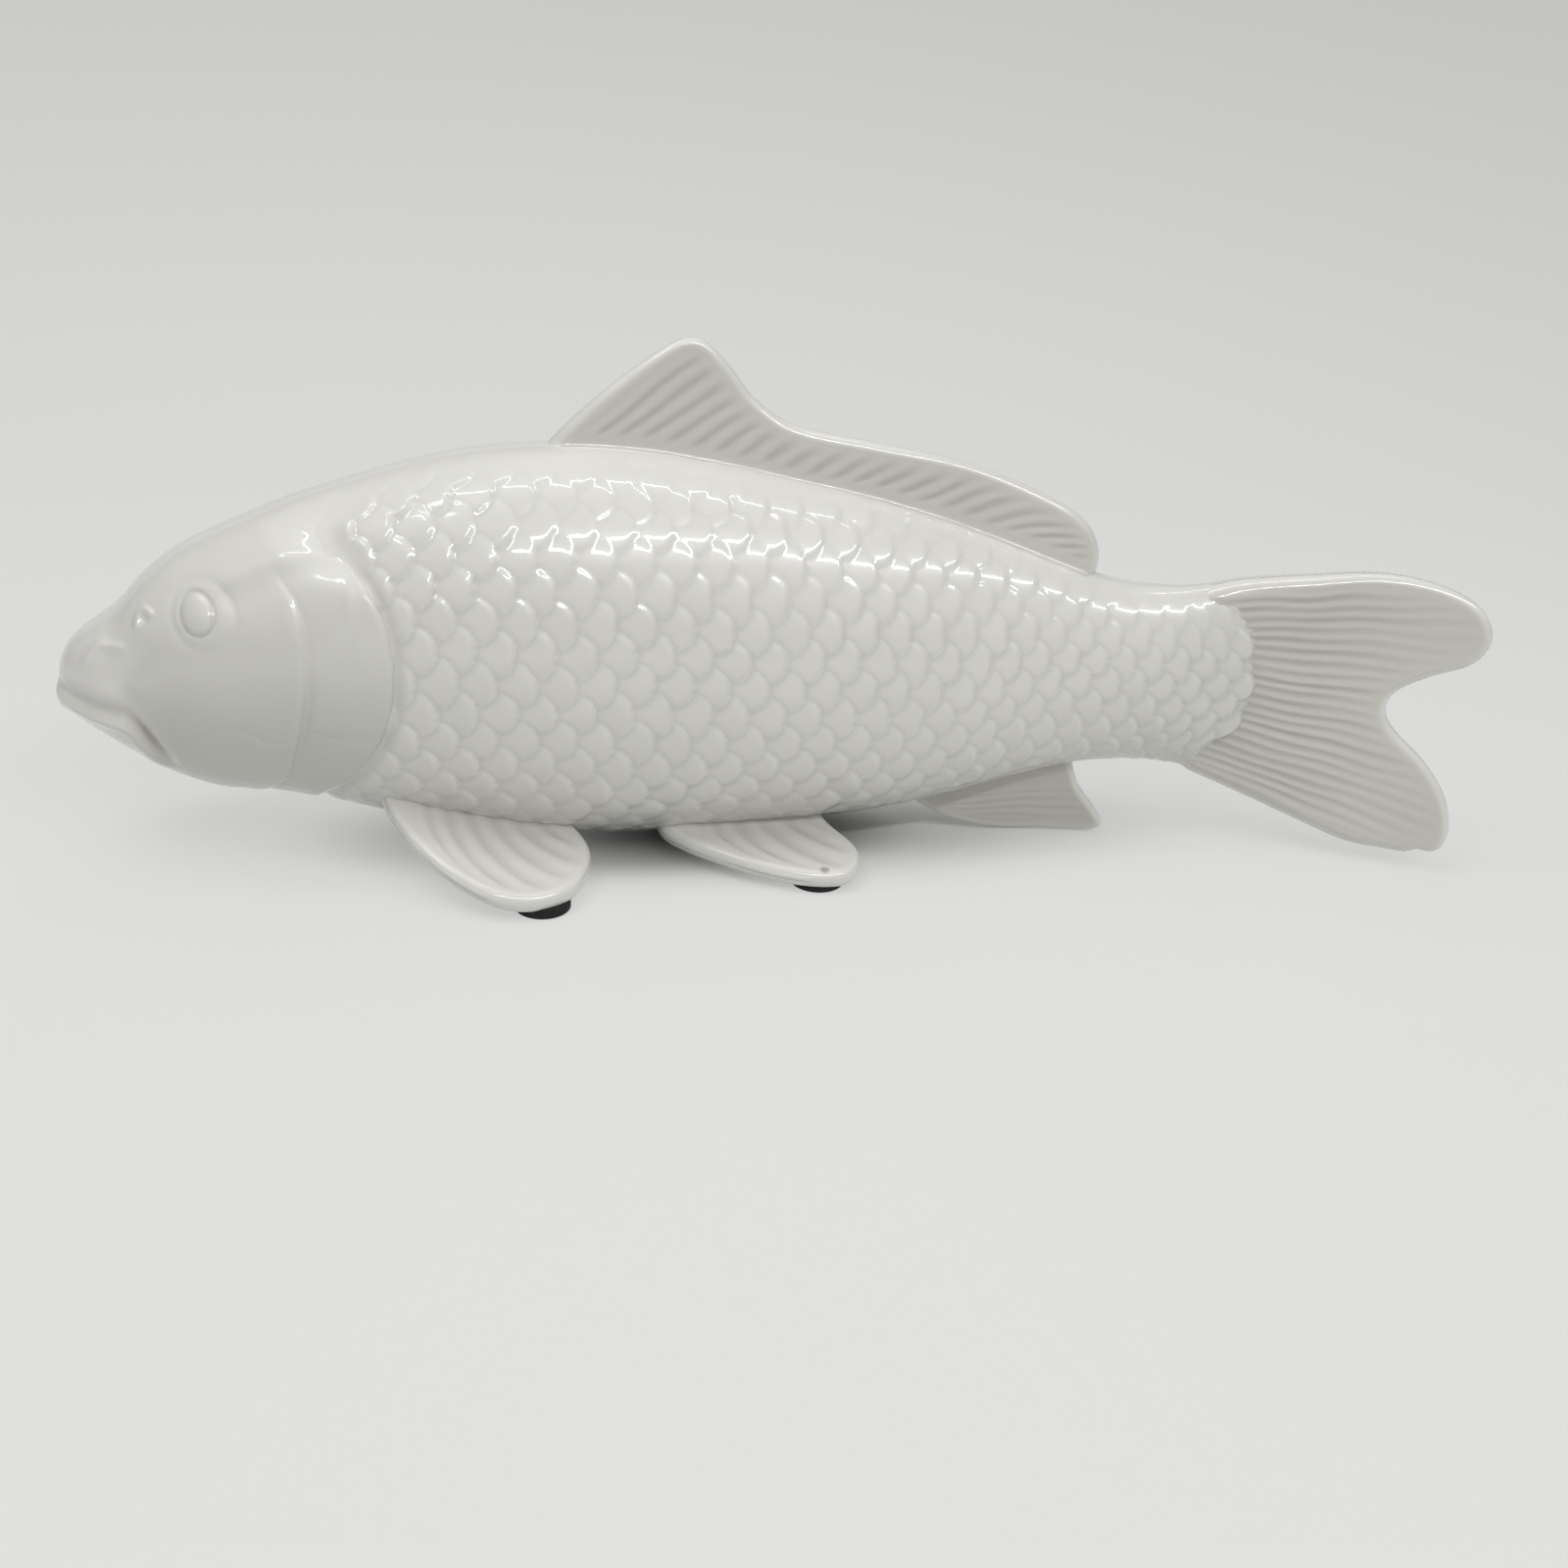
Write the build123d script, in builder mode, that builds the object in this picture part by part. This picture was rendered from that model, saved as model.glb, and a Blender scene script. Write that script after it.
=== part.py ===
# Glazed porcelain carp ornament: a hollow cast body, seven luted fins and four soft feet.
# Millimetres, +X towards the tail, -Y the fish's left side, +Z up, origin on the table under the middle.

import os
from math import cos, sin, sqrt

from build123d import *

# Body casting
BODY_LENGTH = 262.0
BODY_DEPTH = 85.0
BODY_WIDTH = 54.0
BELLY_CLEARANCE = 2.4
WALL = 4.0
VENT_DIAMETER = 5.0
VENT_STATION = 112.0

# Sideways sweep of the tail, towards the fish's left
BEND_START = 188.0
BEND_RADIUS = 238.0

# Head relief
CHEEK_EDGE = 51.5
CHEEK_STEP = 1.2
GILL_EDGE = 69.0
GILL_STEP = 1.6
EYE_STATION = 32.0
EYE_HEIGHT = 56.5
EYE_RADIUS = 7.0
EYE_BULGE = 1.2
NOSTRIL_STATION = 20.5
NOSTRIL_HEIGHT = 53.0
NOSTRIL_RADIUS = 1.3
MOUTH_HEIGHT = 36.8
MOUTH_LENGTH = 24.0
MOUTH_DROP = 12.8
MOUTH_GAP = 1.6
MOUTH_DEPTH = 1.8

# Dorsal fin
DORSAL_FRONT = 96.0
DORSAL_LENGTH = 121.5
DORSAL_HEIGHT = 23.6
DORSAL_BASE_THICKNESS = 5.2
DORSAL_EDGE_THICKNESS = 2.8
DORSAL_RAYS = 25
DORSAL_RAY_SINK = 2.0
DORSAL_FRONT_RISE = 0.65
DORSAL_REAR_RISE = 0.15

# Tail fin
TAIL_ROOT = 246.0
TAIL_LENGTH = 59.0
TAIL_SPAN = 64.0
TAIL_CLEARANCE = 3.8
TAIL_ROOT_THICKNESS = 7.0
TAIL_EDGE_THICKNESS = 3.0
TAIL_RAYS = 19

# Anal fin
ANAL_FRONT = 179.0
ANAL_LENGTH = 48.5
ANAL_HEIGHT = 18.0
ANAL_BASE_THICKNESS = 4.6
ANAL_EDGE_THICKNESS = 3.0
ANAL_RAYS = 6

# Pectoral fins: heights are of the underside, along the root and along the outer edge
PECTORAL_FRONT = 62.0
PECTORAL_LENGTH = 45.0
PECTORAL_REACH = 41.0
PECTORAL_THICKNESS = 3.4
PECTORAL_ROOT_FALL = 11.0
PECTORAL_EDGE_FALL = 9.5
PECTORAL_DROOP = 4.0
PECTORAL_RAYS = 8

# Pelvic fins
PELVIC_FRONT = 126.5
PELVIC_LENGTH = 38.5
PELVIC_REACH = 32.3
PELVIC_THICKNESS = 3.2
PELVIC_ROOT_FALL = 0.0
PELVIC_EDGE_FALL = 1.0
PELVIC_DROOP = 3.0
PELVIC_RAYS = 7

# Fin rays are shallow V grooves
GROOVE_WIDTH = 1.5
GROOVE_DEPTH = 0.5

# Soft feet under the paired fins
PAD_DIAMETER = 11.5
PAD_THICKNESS = 2.3
PAD_EDGE = 0.4
PAD_MARGIN = 1.0
PECTORAL_PAD_BACK = 10.5
PELVIC_PAD_BACK = 10.0
FOOT_SINK = 0.3

# Body lines: station, back, belly and half width, in percent of length, depth, depth and half width
HEAD_LINES = [
    (0.0, 40.5, 33.5, 6),
    (0.5, 46.0, 32.5, 14),
    (1.2, 50.0, 31.5, 23),
    (2.3, 53.5, 29.0, 32),
    (3.8, 57.0, 26.0, 42),
    (5.2, 60.5, 23.0, 48),
    (6.9, 66.5, 19.5, 55),
    (9.2, 72.5, 16.0, 64),
    (11.8, 77.0, 13.5, 74),
    (15.3, 82.0, 12.5, 84),
    (19.8, 88.0, 10.0, 94),
    (25.2, 94.0, 5.5, 102),
    (30.5, 97.5, 3.5, 105),
]
TRUNK_LINES = [
    (31.5, 98.0, 3.3, 98),
    (38.2, 100.0, 0.5, 100),
    (44.7, 99.5, 0.0, 100),
    (51.5, 96.5, 1.2, 96),
    (57.3, 93.0, 2.6, 91),
    (63.0, 89.5, 4.0, 83),
    (68.7, 85.0, 6.8, 72),
    (74.4, 79.5, 11.0, 61),
    (80.2, 73.5, 16.0, 50),
    (84.7, 69.5, 19.0, 42),
    (89.7, 68.5, 20.0, 34),
    (93.9, 70.5, 18.5, 28),
    (97.7, 73.5, 15.0, 22),
    (100.0, 75.0, 12.0, 18),
]
OPERCLE_FIRST = 6
TRUNK_FIRST = 8
CAVITY_SECTIONS = 13
NAPE_SHARE = 0.25

# Fin outlines, in shares of each fin's own length and height, span or reach
DORSAL_OUTLINE = [
    (0.0, -0.1),
    (0.06, 0.22),
    (0.13, 0.55),
    (0.23, 0.96),
    (0.27, 1.0),
    (0.315, 0.84),
    (0.36, 0.61),
    (0.43, 0.46),
    (0.57, 0.47),
    (0.74, 0.55),
    (0.9, 0.53),
    (0.97, 0.43),
    (1.0, 0.2),
    (0.995, -0.15),
]
TAIL_OUTLINE = [
    (0.0, 0.9),
    (0.3, 0.965),
    (0.55, 1.0),
    (0.78, 0.98),
    (0.93, 0.915),
    (0.985, 0.82),
    (0.94, 0.73),
    (0.8, 0.66),
    (0.695, 0.59),
    (0.675, 0.525),
    (0.72, 0.455),
    (0.85, 0.355),
    (0.95, 0.245),
    (1.0, 0.12),
    (0.97, 0.035),
    (0.83, 0.0),
    (0.64, 0.01),
    (0.43, 0.07),
    (0.2, 0.145),
    (0.0, 0.21),
]
ANAL_FRONT_OUTLINE = [(0.0, 0.55), (0.12, 0.32), (0.25, 0.15), (0.45, 0.0)]
ANAL_REAR_OUTLINE = [(0.94, 0.0), (1.0, 0.12), (0.95, 0.36), (0.87, 0.62), (0.82, 0.92), (0.81, 1.2)]
PECTORAL_OUTLINE = [
    (0.0, 0.1),
    (0.05, 0.39),
    (0.15, 0.62),
    (0.27, 0.79),
    (0.42, 0.925),
    (0.58, 1.0),
    (0.77, 0.98),
    (0.9, 0.89),
    (0.97, 0.74),
    (1.0, 0.56),
    (0.96, 0.38),
    (0.86, 0.24),
    (0.78, 0.1),
]
PELVIC_OUTLINE = [
    (0.0, 0.1),
    (0.02, 0.45),
    (0.16, 0.68),
    (0.35, 0.84),
    (0.55, 0.95),
    (0.76, 1.0),
    (0.9, 0.96),
    (0.98, 0.8),
    (0.98, 0.62),
    (0.9, 0.4),
    (0.8, 0.1),
]
SLAB_STEPS = 6
BAND_STEPS = 5

# Heights on the gill plates, in percent of the depth
PLATE_TOP = 76.0
PLATE_MIDDLE = 51.0
PLATE_BOTTOM = 15.0
PLATE_TOP_BACK = 0.08
PLATE_BOTTOM_BACK = 0.24

# Rounded end of the scaled body where the tail fin starts
SCALE_EDGE_TOP = 71.0
SCALE_EDGE_MIDDLE = 43.0
SCALE_EDGE_BOTTOM = 20.0
SCALE_EDGE_BULGE = 12.5
SCALE_EDGE_LEAN = 2.5


def spine(station):
    """Plan position of the middle plane at a station along the fish, and its heading."""
    turn = max(0.0, station - BEND_START) / BEND_RADIUS
    along = min(station, BEND_START) + BEND_RADIUS * sin(turn)
    aside = -BEND_RADIUS * (1 - cos(turn))
    return along, aside, turn


TAIL_END = TAIL_ROOT + TAIL_LENGTH
MIDDLE = spine(TAIL_END)[0] / 2
FAR = 200.0


def plan(station, offset=0.0):
    """Plan point at a station, offset square to the middle plane, in the part's frame."""
    along, aside, turn = spine(station)
    return along + offset * sin(turn) - MIDDLE, aside + offset * cos(turn)


def side(station, height):
    """Side-view point, as drawn on the XZ plane."""
    return plan(station)[0], height


def level(percent):
    return BELLY_CLEARANCE + percent / 100 * BODY_DEPTH


def body_lines(station):
    """Back height, belly height and half width at a station, between the body lines."""
    rows = HEAD_LINES[:-1] + TRUNK_LINES
    percent = 100 * station / BODY_LENGTH
    for first, last in zip(rows, rows[1:]):
        if percent <= last[0]:
            break
    share = (percent - first[0]) / (last[0] - first[0])
    back, belly, width = (a + share * (b - a) for a, b in zip(first[1:], last[1:]))
    return level(back), level(belly), width / 100 * BODY_WIDTH / 2


def half_width_at(station, height):
    """Half width of the elliptical section at a height."""
    back, belly, width = body_lines(station)
    rise = (2 * height - back - belly) / (back - belly)
    return width * sqrt(1 - rise**2)


def section_plane(station, height):
    along, aside = plan(station)
    turn = spine(station)[2]
    return Plane(
        origin=(along, aside, height),
        x_dir=(sin(turn), cos(turn), 0),
        z_dir=(cos(turn), -sin(turn), 0),
    )


def loft_lines(rows, insets, mode=Mode.ADD):
    """Loft of elliptical sections through body lines, each drawn in by its inset."""
    sections = []
    for (percent, back, belly, width), (across, upright) in zip(rows, insets):
        high = level(back)
        low = level(belly)
        with BuildSketch(section_plane(percent / 100 * BODY_LENGTH, (high + low) / 2)) as section:
            Ellipse(width / 100 * BODY_WIDTH / 2 - across, (high - low) / 2 - upright)
        sections.append(section.sketch)
    loft(sections, mode=mode)


def keep_ahead(top, middle, bottom):
    """Trim the part to what lies ahead of an arc drawn in side view."""
    with BuildSketch(Plane.XZ) as region:
        with BuildLine():
            ThreePointArc(top, middle, bottom)
            Polyline(bottom, (bottom[0], -FAR), (-FAR, -FAR), (-FAR, FAR), (top[0], FAR), top)
        make_face()
    extrude(region.sketch, amount=FAR, both=True, mode=Mode.INTERSECT)


def plate(first, edge, step):
    """One gill plate: the head lines, drawn in by a step, up to the plate's rear edge."""
    rows = HEAD_LINES[first:]
    with BuildPart() as shape:
        loft_lines(rows, [(step, NAPE_SHARE * step)] * len(rows))
        keep_ahead(
            side(edge * (1 - PLATE_TOP_BACK), level(PLATE_TOP)),
            side(edge, level(PLATE_MIDDLE)),
            side(edge * (1 - PLATE_BOTTOM_BACK), level(PLATE_BOTTOM)),
        )
    return shape.part


def slab(front, rear, low, high, low_halves, high_halves):
    """Upright slab along the bent middle plane, with half thicknesses at its front and rear."""
    faces = []
    for height, (at_front, at_rear) in ((low, low_halves), (high, high_halves)):
        shares = [step / SLAB_STEPS for step in range(SLAB_STEPS + 1)]
        stations = [front + (rear - front) * share for share in shares]
        halves = [at_front + (at_rear - at_front) * share for share in shares]
        with BuildSketch(Plane.XY.offset(height)) as strip:
            with BuildLine():
                near = Spline([plan(x, -half) for x, half in zip(stations, halves)])
                far = Spline([plan(x, half) for x, half in zip(stations, halves)])
                Line(near @ 0, far @ 0)
                Line(near @ 1, far @ 1)
            make_face()
        faces.append(strip.sketch)
    loft(faces)


def trim_to(plane, *curves):
    """Trim the part to an outline; each curve is a list of points, smooth where it has over two."""
    with BuildSketch(plane) as shape:
        with BuildLine():
            for points in curves:
                if len(points) > 2:
                    Spline(points)
                else:
                    Line(*points)
            Line(curves[-1][-1], curves[0][0])
        make_face()
    extrude(shape.sketch, amount=FAR, both=True, mode=Mode.INTERSECT)


def groove(start, end, outward):
    """Cut one fin ray: a V groove from start to end, opening outward."""
    along = Vector(*end) - Vector(*start)
    with BuildSketch(Plane(origin=start, x_dir=outward, z_dir=along)) as notch:
        with BuildLine():
            Polyline(
                (-GROOVE_DEPTH, 0),
                (GROOVE_DEPTH, -GROOVE_WIDTH),
                (GROOVE_DEPTH, GROOVE_WIDTH),
                close=True,
            )
        make_face()
    extrude(notch.sketch, amount=along.length, mode=Mode.SUBTRACT)


def upright_rays(rays, half_at):
    """Grooves on both faces of an upright fin; a ray is its two ends as station and height."""
    for ray in rays:
        for hand in (-1, 1):
            ends = [(*plan(x, hand * half_at(x, z)), z) for x, z in ray]
            groove(*ends, (0, hand, 0))


def between(first, last, share):
    return first + (last - first) * share


# Body casting, first as a solid of its outer surface
plate_inset = CHEEK_STEP + GILL_STEP
trunk_rows = HEAD_LINES[TRUNK_FIRST:-1] + TRUNK_LINES
covered = len(trunk_rows) - len(TRUNK_LINES)
trunk_insets = [(plate_inset, NAPE_SHARE * plate_inset)] * covered + [(0.0, 0.0)] * len(TRUNK_LINES)

with BuildPart() as trunk:
    loft_lines(trunk_rows, trunk_insets)
    keep_ahead(
        side(TAIL_ROOT, level(SCALE_EDGE_TOP)),
        side(TAIL_ROOT + SCALE_EDGE_BULGE, level(SCALE_EDGE_MIDDLE)),
        side(TAIL_ROOT + SCALE_EDGE_LEAN, level(SCALE_EDGE_BOTTOM)),
    )

with BuildPart() as mouth:
    with BuildSketch(Plane.XZ) as lips:
        with BuildLine() as cleft:
            Spline(
                side(-MOUTH_DEPTH, MOUTH_HEIGHT),
                side(0.17 * MOUTH_LENGTH, MOUTH_HEIGHT - 0.17 * MOUTH_DROP),
                side(0.54 * MOUTH_LENGTH, MOUTH_HEIGHT - 0.3 * MOUTH_DROP),
                side(0.75 * MOUTH_LENGTH, MOUTH_HEIGHT - 0.56 * MOUTH_DROP),
                side(MOUTH_LENGTH, MOUTH_HEIGHT - MOUTH_DROP),
            )
        trace(cleft.line, line_width=MOUTH_GAP)
    extrude(lips.sketch, amount=BODY_WIDTH, both=True)
    loft_lines(HEAD_LINES[1:], [(MOUTH_DEPTH, MOUTH_DEPTH)] * len(HEAD_LINES[1:]), Mode.SUBTRACT)

with BuildPart() as casting:
    add(trunk.part)
    add(plate(OPERCLE_FIRST, GILL_EDGE, CHEEK_STEP))
    add(plate(0, CHEEK_EDGE, 0.0))
    for hand in (-1, 1):
        eye_aside = half_width_at(EYE_STATION, EYE_HEIGHT) + EYE_BULGE - EYE_RADIUS
        with Locations((side(EYE_STATION, 0)[0], hand * eye_aside, EYE_HEIGHT)):
            Sphere(EYE_RADIUS)
        nostril_aside = half_width_at(NOSTRIL_STATION, NOSTRIL_HEIGHT)
        with Locations((side(NOSTRIL_STATION, 0)[0], hand * nostril_aside, NOSTRIL_HEIGHT)):
            Sphere(NOSTRIL_RADIUS)
    add(mouth.part, mode=Mode.SUBTRACT)

cavity_rows = trunk_rows[:CAVITY_SECTIONS]
cavity_insets = [(across + WALL, upright + WALL) for across, upright in trunk_insets[:CAVITY_SECTIONS]]

with BuildPart() as body_shell:
    add(casting.part)
    loft_lines(cavity_rows, cavity_insets, Mode.SUBTRACT)
    with Locations((*plan(VENT_STATION), level(0) + 2 * WALL)):
        Hole(VENT_DIAMETER / 2, depth=4 * WALL)

# Dorsal fin
dorsal_low = level(55)
dorsal_high = level(100) + DORSAL_HEIGHT


def dorsal_point(share, height):
    station = DORSAL_FRONT + share * DORSAL_LENGTH
    return side(station, body_lines(station)[0] + height * DORSAL_HEIGHT)


def dorsal_half(station, height):
    share = (height - dorsal_low) / (dorsal_high - dorsal_low)
    return between(DORSAL_BASE_THICKNESS, DORSAL_EDGE_THICKNESS, share) / 2


dorsal_rays = []
for ray in range(DORSAL_RAYS):
    share = (ray + 0.5) / DORSAL_RAYS
    foot = DORSAL_FRONT + share * DORSAL_LENGTH
    foot_height = body_lines(foot)[0] - DORSAL_RAY_SINK
    reach = 2 * DORSAL_HEIGHT
    rise = between(DORSAL_FRONT_RISE, DORSAL_REAR_RISE, share)
    dorsal_rays.append([(foot, foot_height), (foot + reach, foot_height + reach * rise)])

with BuildPart() as dorsal_fin:
    slab(
        DORSAL_FRONT - WALL,
        DORSAL_FRONT + DORSAL_LENGTH + WALL,
        dorsal_low,
        dorsal_high,
        [DORSAL_BASE_THICKNESS / 2] * 2,
        [DORSAL_EDGE_THICKNESS / 2] * 2,
    )
    trim_to(Plane.XZ, [dorsal_point(*point) for point in DORSAL_OUTLINE])
    upright_rays(dorsal_rays, dorsal_half)
    add(casting.part, mode=Mode.SUBTRACT)

# Tail fin


def tail_point(share, height):
    return side(TAIL_ROOT + share * TAIL_LENGTH, TAIL_CLEARANCE + height * TAIL_SPAN)


def tail_half(station, height):
    share = (station - TAIL_ROOT) / TAIL_LENGTH
    return between(TAIL_ROOT_THICKNESS, TAIL_EDGE_THICKNESS, share) / 2


tail_rays = []
for ray in range(TAIL_RAYS):
    share = (ray + 0.5) / TAIL_RAYS
    foot_height = TAIL_CLEARANCE + between(0.26, 0.86, share) * TAIL_SPAN
    tip_height = TAIL_CLEARANCE + between(0.0, 0.97, share) * TAIL_SPAN
    tail_rays.append([(TAIL_ROOT, foot_height), (TAIL_END, tip_height)])

with BuildPart() as tail_fin:
    slab(
        TAIL_ROOT,
        TAIL_END,
        0.0,
        TAIL_CLEARANCE + TAIL_SPAN + WALL,
        [TAIL_ROOT_THICKNESS / 2, TAIL_EDGE_THICKNESS / 2],
        [TAIL_ROOT_THICKNESS / 2, TAIL_EDGE_THICKNESS / 2],
    )
    trim_to(Plane.XZ, [tail_point(*point) for point in TAIL_OUTLINE])
    upright_rays(tail_rays, tail_half)
    add(casting.part, mode=Mode.SUBTRACT)

# Anal fin, flat along the bottom where it touches the table
anal_high = level(25)


def anal_point(share, height):
    return side(ANAL_FRONT + share * ANAL_LENGTH, height * ANAL_HEIGHT)


def anal_half(station, height):
    return between(ANAL_EDGE_THICKNESS, ANAL_BASE_THICKNESS, height / anal_high) / 2


anal_rays = []
for ray in range(ANAL_RAYS):
    share = (ray + 0.5) / ANAL_RAYS
    foot = (ANAL_FRONT + between(0.2, 0.7, share) * ANAL_LENGTH, between(0.3, 0.95, share) * ANAL_HEIGHT)
    tip = (ANAL_FRONT + ANAL_LENGTH, between(0.05, 0.75, share) * ANAL_HEIGHT)
    anal_rays.append([foot, tip])

with BuildPart() as anal_fin:
    slab(
        ANAL_FRONT - WALL,
        ANAL_FRONT + ANAL_LENGTH + WALL,
        0.0,
        anal_high,
        [ANAL_EDGE_THICKNESS / 2] * 2,
        [ANAL_BASE_THICKNESS / 2] * 2,
    )
    trim_to(
        Plane.XZ,
        [anal_point(*point) for point in ANAL_FRONT_OUTLINE],
        [anal_point(*ANAL_FRONT_OUTLINE[-1]), anal_point(*ANAL_REAR_OUTLINE[0])],
        [anal_point(*point) for point in ANAL_REAR_OUTLINE],
    )
    upright_rays(anal_rays, anal_half)
    add(casting.part, mode=Mode.SUBTRACT)


def paired_fin(hand, front, length, reach, thickness, root_fall, edge_fall, droop, lines, rays):
    """A spread fin on one side, flat underneath where its pad sticks; hand is -1 on the fish's left."""

    def underside(share, across):
        """Height of the underside; share runs back along the fin, across runs from root to outer edge."""
        root = droop + root_fall * (1 - share) ** 1.5
        edge = edge_fall * max(0.0, 1 - share / 0.75) ** 1.5
        return PAD_THICKNESS - FOOT_SINK + between(root, edge, across)

    bands = []
    for across in (0.0, 1.0):
        with BuildSketch(Plane.XZ.offset(-hand * across * reach)) as band:
            with BuildLine():
                shares = [step / BAND_STEPS for step in range(BAND_STEPS + 1)]
                places = [side(front + share * length, 0)[0] for share in shares]
                heights = [underside(share, across) for share in shares]
                low = Spline(list(zip(places, heights)))
                high = Spline([(x, z + thickness) for x, z in zip(places, heights)])
                Line(low @ 0, high @ 0)
                Line(low @ 1, high @ 1)
            make_face()
        bands.append(band.sketch)

    with BuildPart() as fin:
        loft(bands)
        points = [(side(front + share * length, 0)[0], hand * across * reach) for share, across in lines]
        trim_to(Plane.XY, points)
        for ray in range(rays):
            share = (ray + 0.5) / rays
            ends = []
            for along, across in ((between(0.02, 0.6, share), 0.25), (between(0.3, 1.0, share), 1.0)):
                height = underside(along, across) + thickness
                ends.append((side(front + along * length, 0)[0], hand * across * reach, height))
            groove(*ends, (0, 0, 1))
        with Locations((0, 0, PAD_THICKNESS)):
            Box(FAR * 2, FAR, FAR, align=(Align.CENTER, Align.CENTER, Align.MAX), mode=Mode.SUBTRACT)
        add(casting.part, mode=Mode.SUBTRACT)
    return fin


def pad(station, aside):
    """A round soft foot between a fin and the table."""
    with BuildPart() as foot:
        with BuildSketch():
            with Locations((side(station, 0)[0], aside)):
                Circle(PAD_DIAMETER / 2)
        extrude(amount=PAD_THICKNESS)
        chamfer(foot.edges().group_by(Axis.Z)[0], PAD_EDGE)
    return foot


pieces = {
    "body_shell": body_shell,
    "dorsal_fin": dorsal_fin,
    "tail_fin": tail_fin,
    "anal_fin": anal_fin,
}
for word, hand in (("left", -1), ("right", 1)):
    pieces[f"pectoral_fin_{word}"] = paired_fin(
        hand,
        PECTORAL_FRONT,
        PECTORAL_LENGTH,
        PECTORAL_REACH,
        PECTORAL_THICKNESS,
        PECTORAL_ROOT_FALL,
        PECTORAL_EDGE_FALL,
        PECTORAL_DROOP,
        PECTORAL_OUTLINE,
        PECTORAL_RAYS,
    )
    pieces[f"pelvic_fin_{word}"] = paired_fin(
        hand,
        PELVIC_FRONT,
        PELVIC_LENGTH,
        PELVIC_REACH,
        PELVIC_THICKNESS,
        PELVIC_ROOT_FALL,
        PELVIC_EDGE_FALL,
        PELVIC_DROOP,
        PELVIC_OUTLINE,
        PELVIC_RAYS,
    )
    pieces[f"pectoral_pad_{word}"] = pad(
        PECTORAL_FRONT + PECTORAL_LENGTH - PECTORAL_PAD_BACK,
        hand * (PECTORAL_REACH - PAD_MARGIN - PAD_DIAMETER / 2),
    )
    pieces[f"pelvic_pad_{word}"] = pad(
        PELVIC_FRONT + PELVIC_LENGTH - PELVIC_PAD_BACK,
        hand * (PELVIC_REACH - PAD_MARGIN - PAD_DIAMETER / 2),
    )

os.makedirs("parts", exist_ok=True)
for name, piece in pieces.items():
    piece.part.label = name
    export_step(piece.part, f"parts/{name}.step")
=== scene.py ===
# Glazed porcelain carp on four soft feet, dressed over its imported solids.
# Shapes are worked out in millimetres. A station is a distance back from the nose along the middle plane.

from bisect import bisect_right
from math import ceil, cos, exp, hypot, pi, radians, sin, sqrt, tau

import bmesh
import bpy
from mathutils import Euler, Matrix, Vector, kdtree, noise


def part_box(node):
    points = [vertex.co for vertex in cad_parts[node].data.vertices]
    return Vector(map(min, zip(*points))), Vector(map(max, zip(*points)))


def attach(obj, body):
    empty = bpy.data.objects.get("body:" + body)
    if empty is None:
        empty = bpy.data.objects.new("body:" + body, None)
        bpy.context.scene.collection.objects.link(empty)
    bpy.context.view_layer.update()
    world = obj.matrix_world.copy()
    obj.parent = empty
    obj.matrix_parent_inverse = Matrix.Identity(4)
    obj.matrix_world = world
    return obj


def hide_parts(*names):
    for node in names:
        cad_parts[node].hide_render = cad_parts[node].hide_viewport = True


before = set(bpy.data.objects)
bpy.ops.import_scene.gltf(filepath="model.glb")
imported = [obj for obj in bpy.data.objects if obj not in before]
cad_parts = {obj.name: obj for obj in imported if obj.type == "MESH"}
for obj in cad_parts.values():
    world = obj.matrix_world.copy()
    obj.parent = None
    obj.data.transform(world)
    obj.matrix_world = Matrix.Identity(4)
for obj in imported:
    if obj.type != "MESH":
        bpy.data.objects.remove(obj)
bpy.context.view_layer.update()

MM = 0.001
WELD = 0.000002
SIDES = (("left", -1), ("right", 1))

# Body
BODY_LENGTH = 262.0
BODY_DEPTH = 85.0
BODY_HALF_WIDTH = 27.0
BELLY_CLEARANCE = 2.4
BEND_START = 188.0
BEND_RADIUS = 238.0
TAIL_END = 305.0

# Body lines: station, back, belly and half width, in percent of length, depth, depth and half width
HEAD_LINES = [
    (0.0, 40.5, 33.5, 6),
    (0.5, 46.0, 32.5, 14),
    (1.2, 50.0, 31.5, 23),
    (2.3, 53.5, 29.0, 32),
    (3.8, 57.0, 26.0, 42),
    (5.2, 60.5, 23.0, 48),
    (6.9, 66.5, 19.5, 55),
    (9.2, 72.5, 16.0, 64),
    (11.8, 77.0, 13.5, 74),
    (15.3, 82.0, 12.5, 84),
    (19.8, 88.0, 10.0, 94),
    (25.2, 94.0, 5.5, 102),
    (30.5, 97.5, 3.5, 105),
]
TRUNK_LINES = [
    (15.3, 81.2, 13.3, 73.6),
    (19.8, 87.2, 10.8, 83.6),
    (25.2, 93.2, 6.3, 91.6),
    (31.5, 98.0, 3.3, 98),
    (38.2, 100.0, 0.5, 100),
    (44.7, 99.5, 0.0, 100),
    (51.5, 96.5, 1.2, 96),
    (57.3, 93.0, 2.6, 91),
    (63.0, 89.5, 4.0, 83),
    (68.7, 85.0, 6.8, 72),
    (74.4, 79.5, 11.0, 61),
    (80.2, 73.5, 16.0, 50),
    (84.7, 69.5, 19.0, 42),
    (89.7, 68.5, 20.0, 33),
    (93.9, 70.5, 18.5, 25),
    (97.7, 73.5, 15.0, 17.5),
    (100.0, 75.0, 12.0, 14),
]

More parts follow.
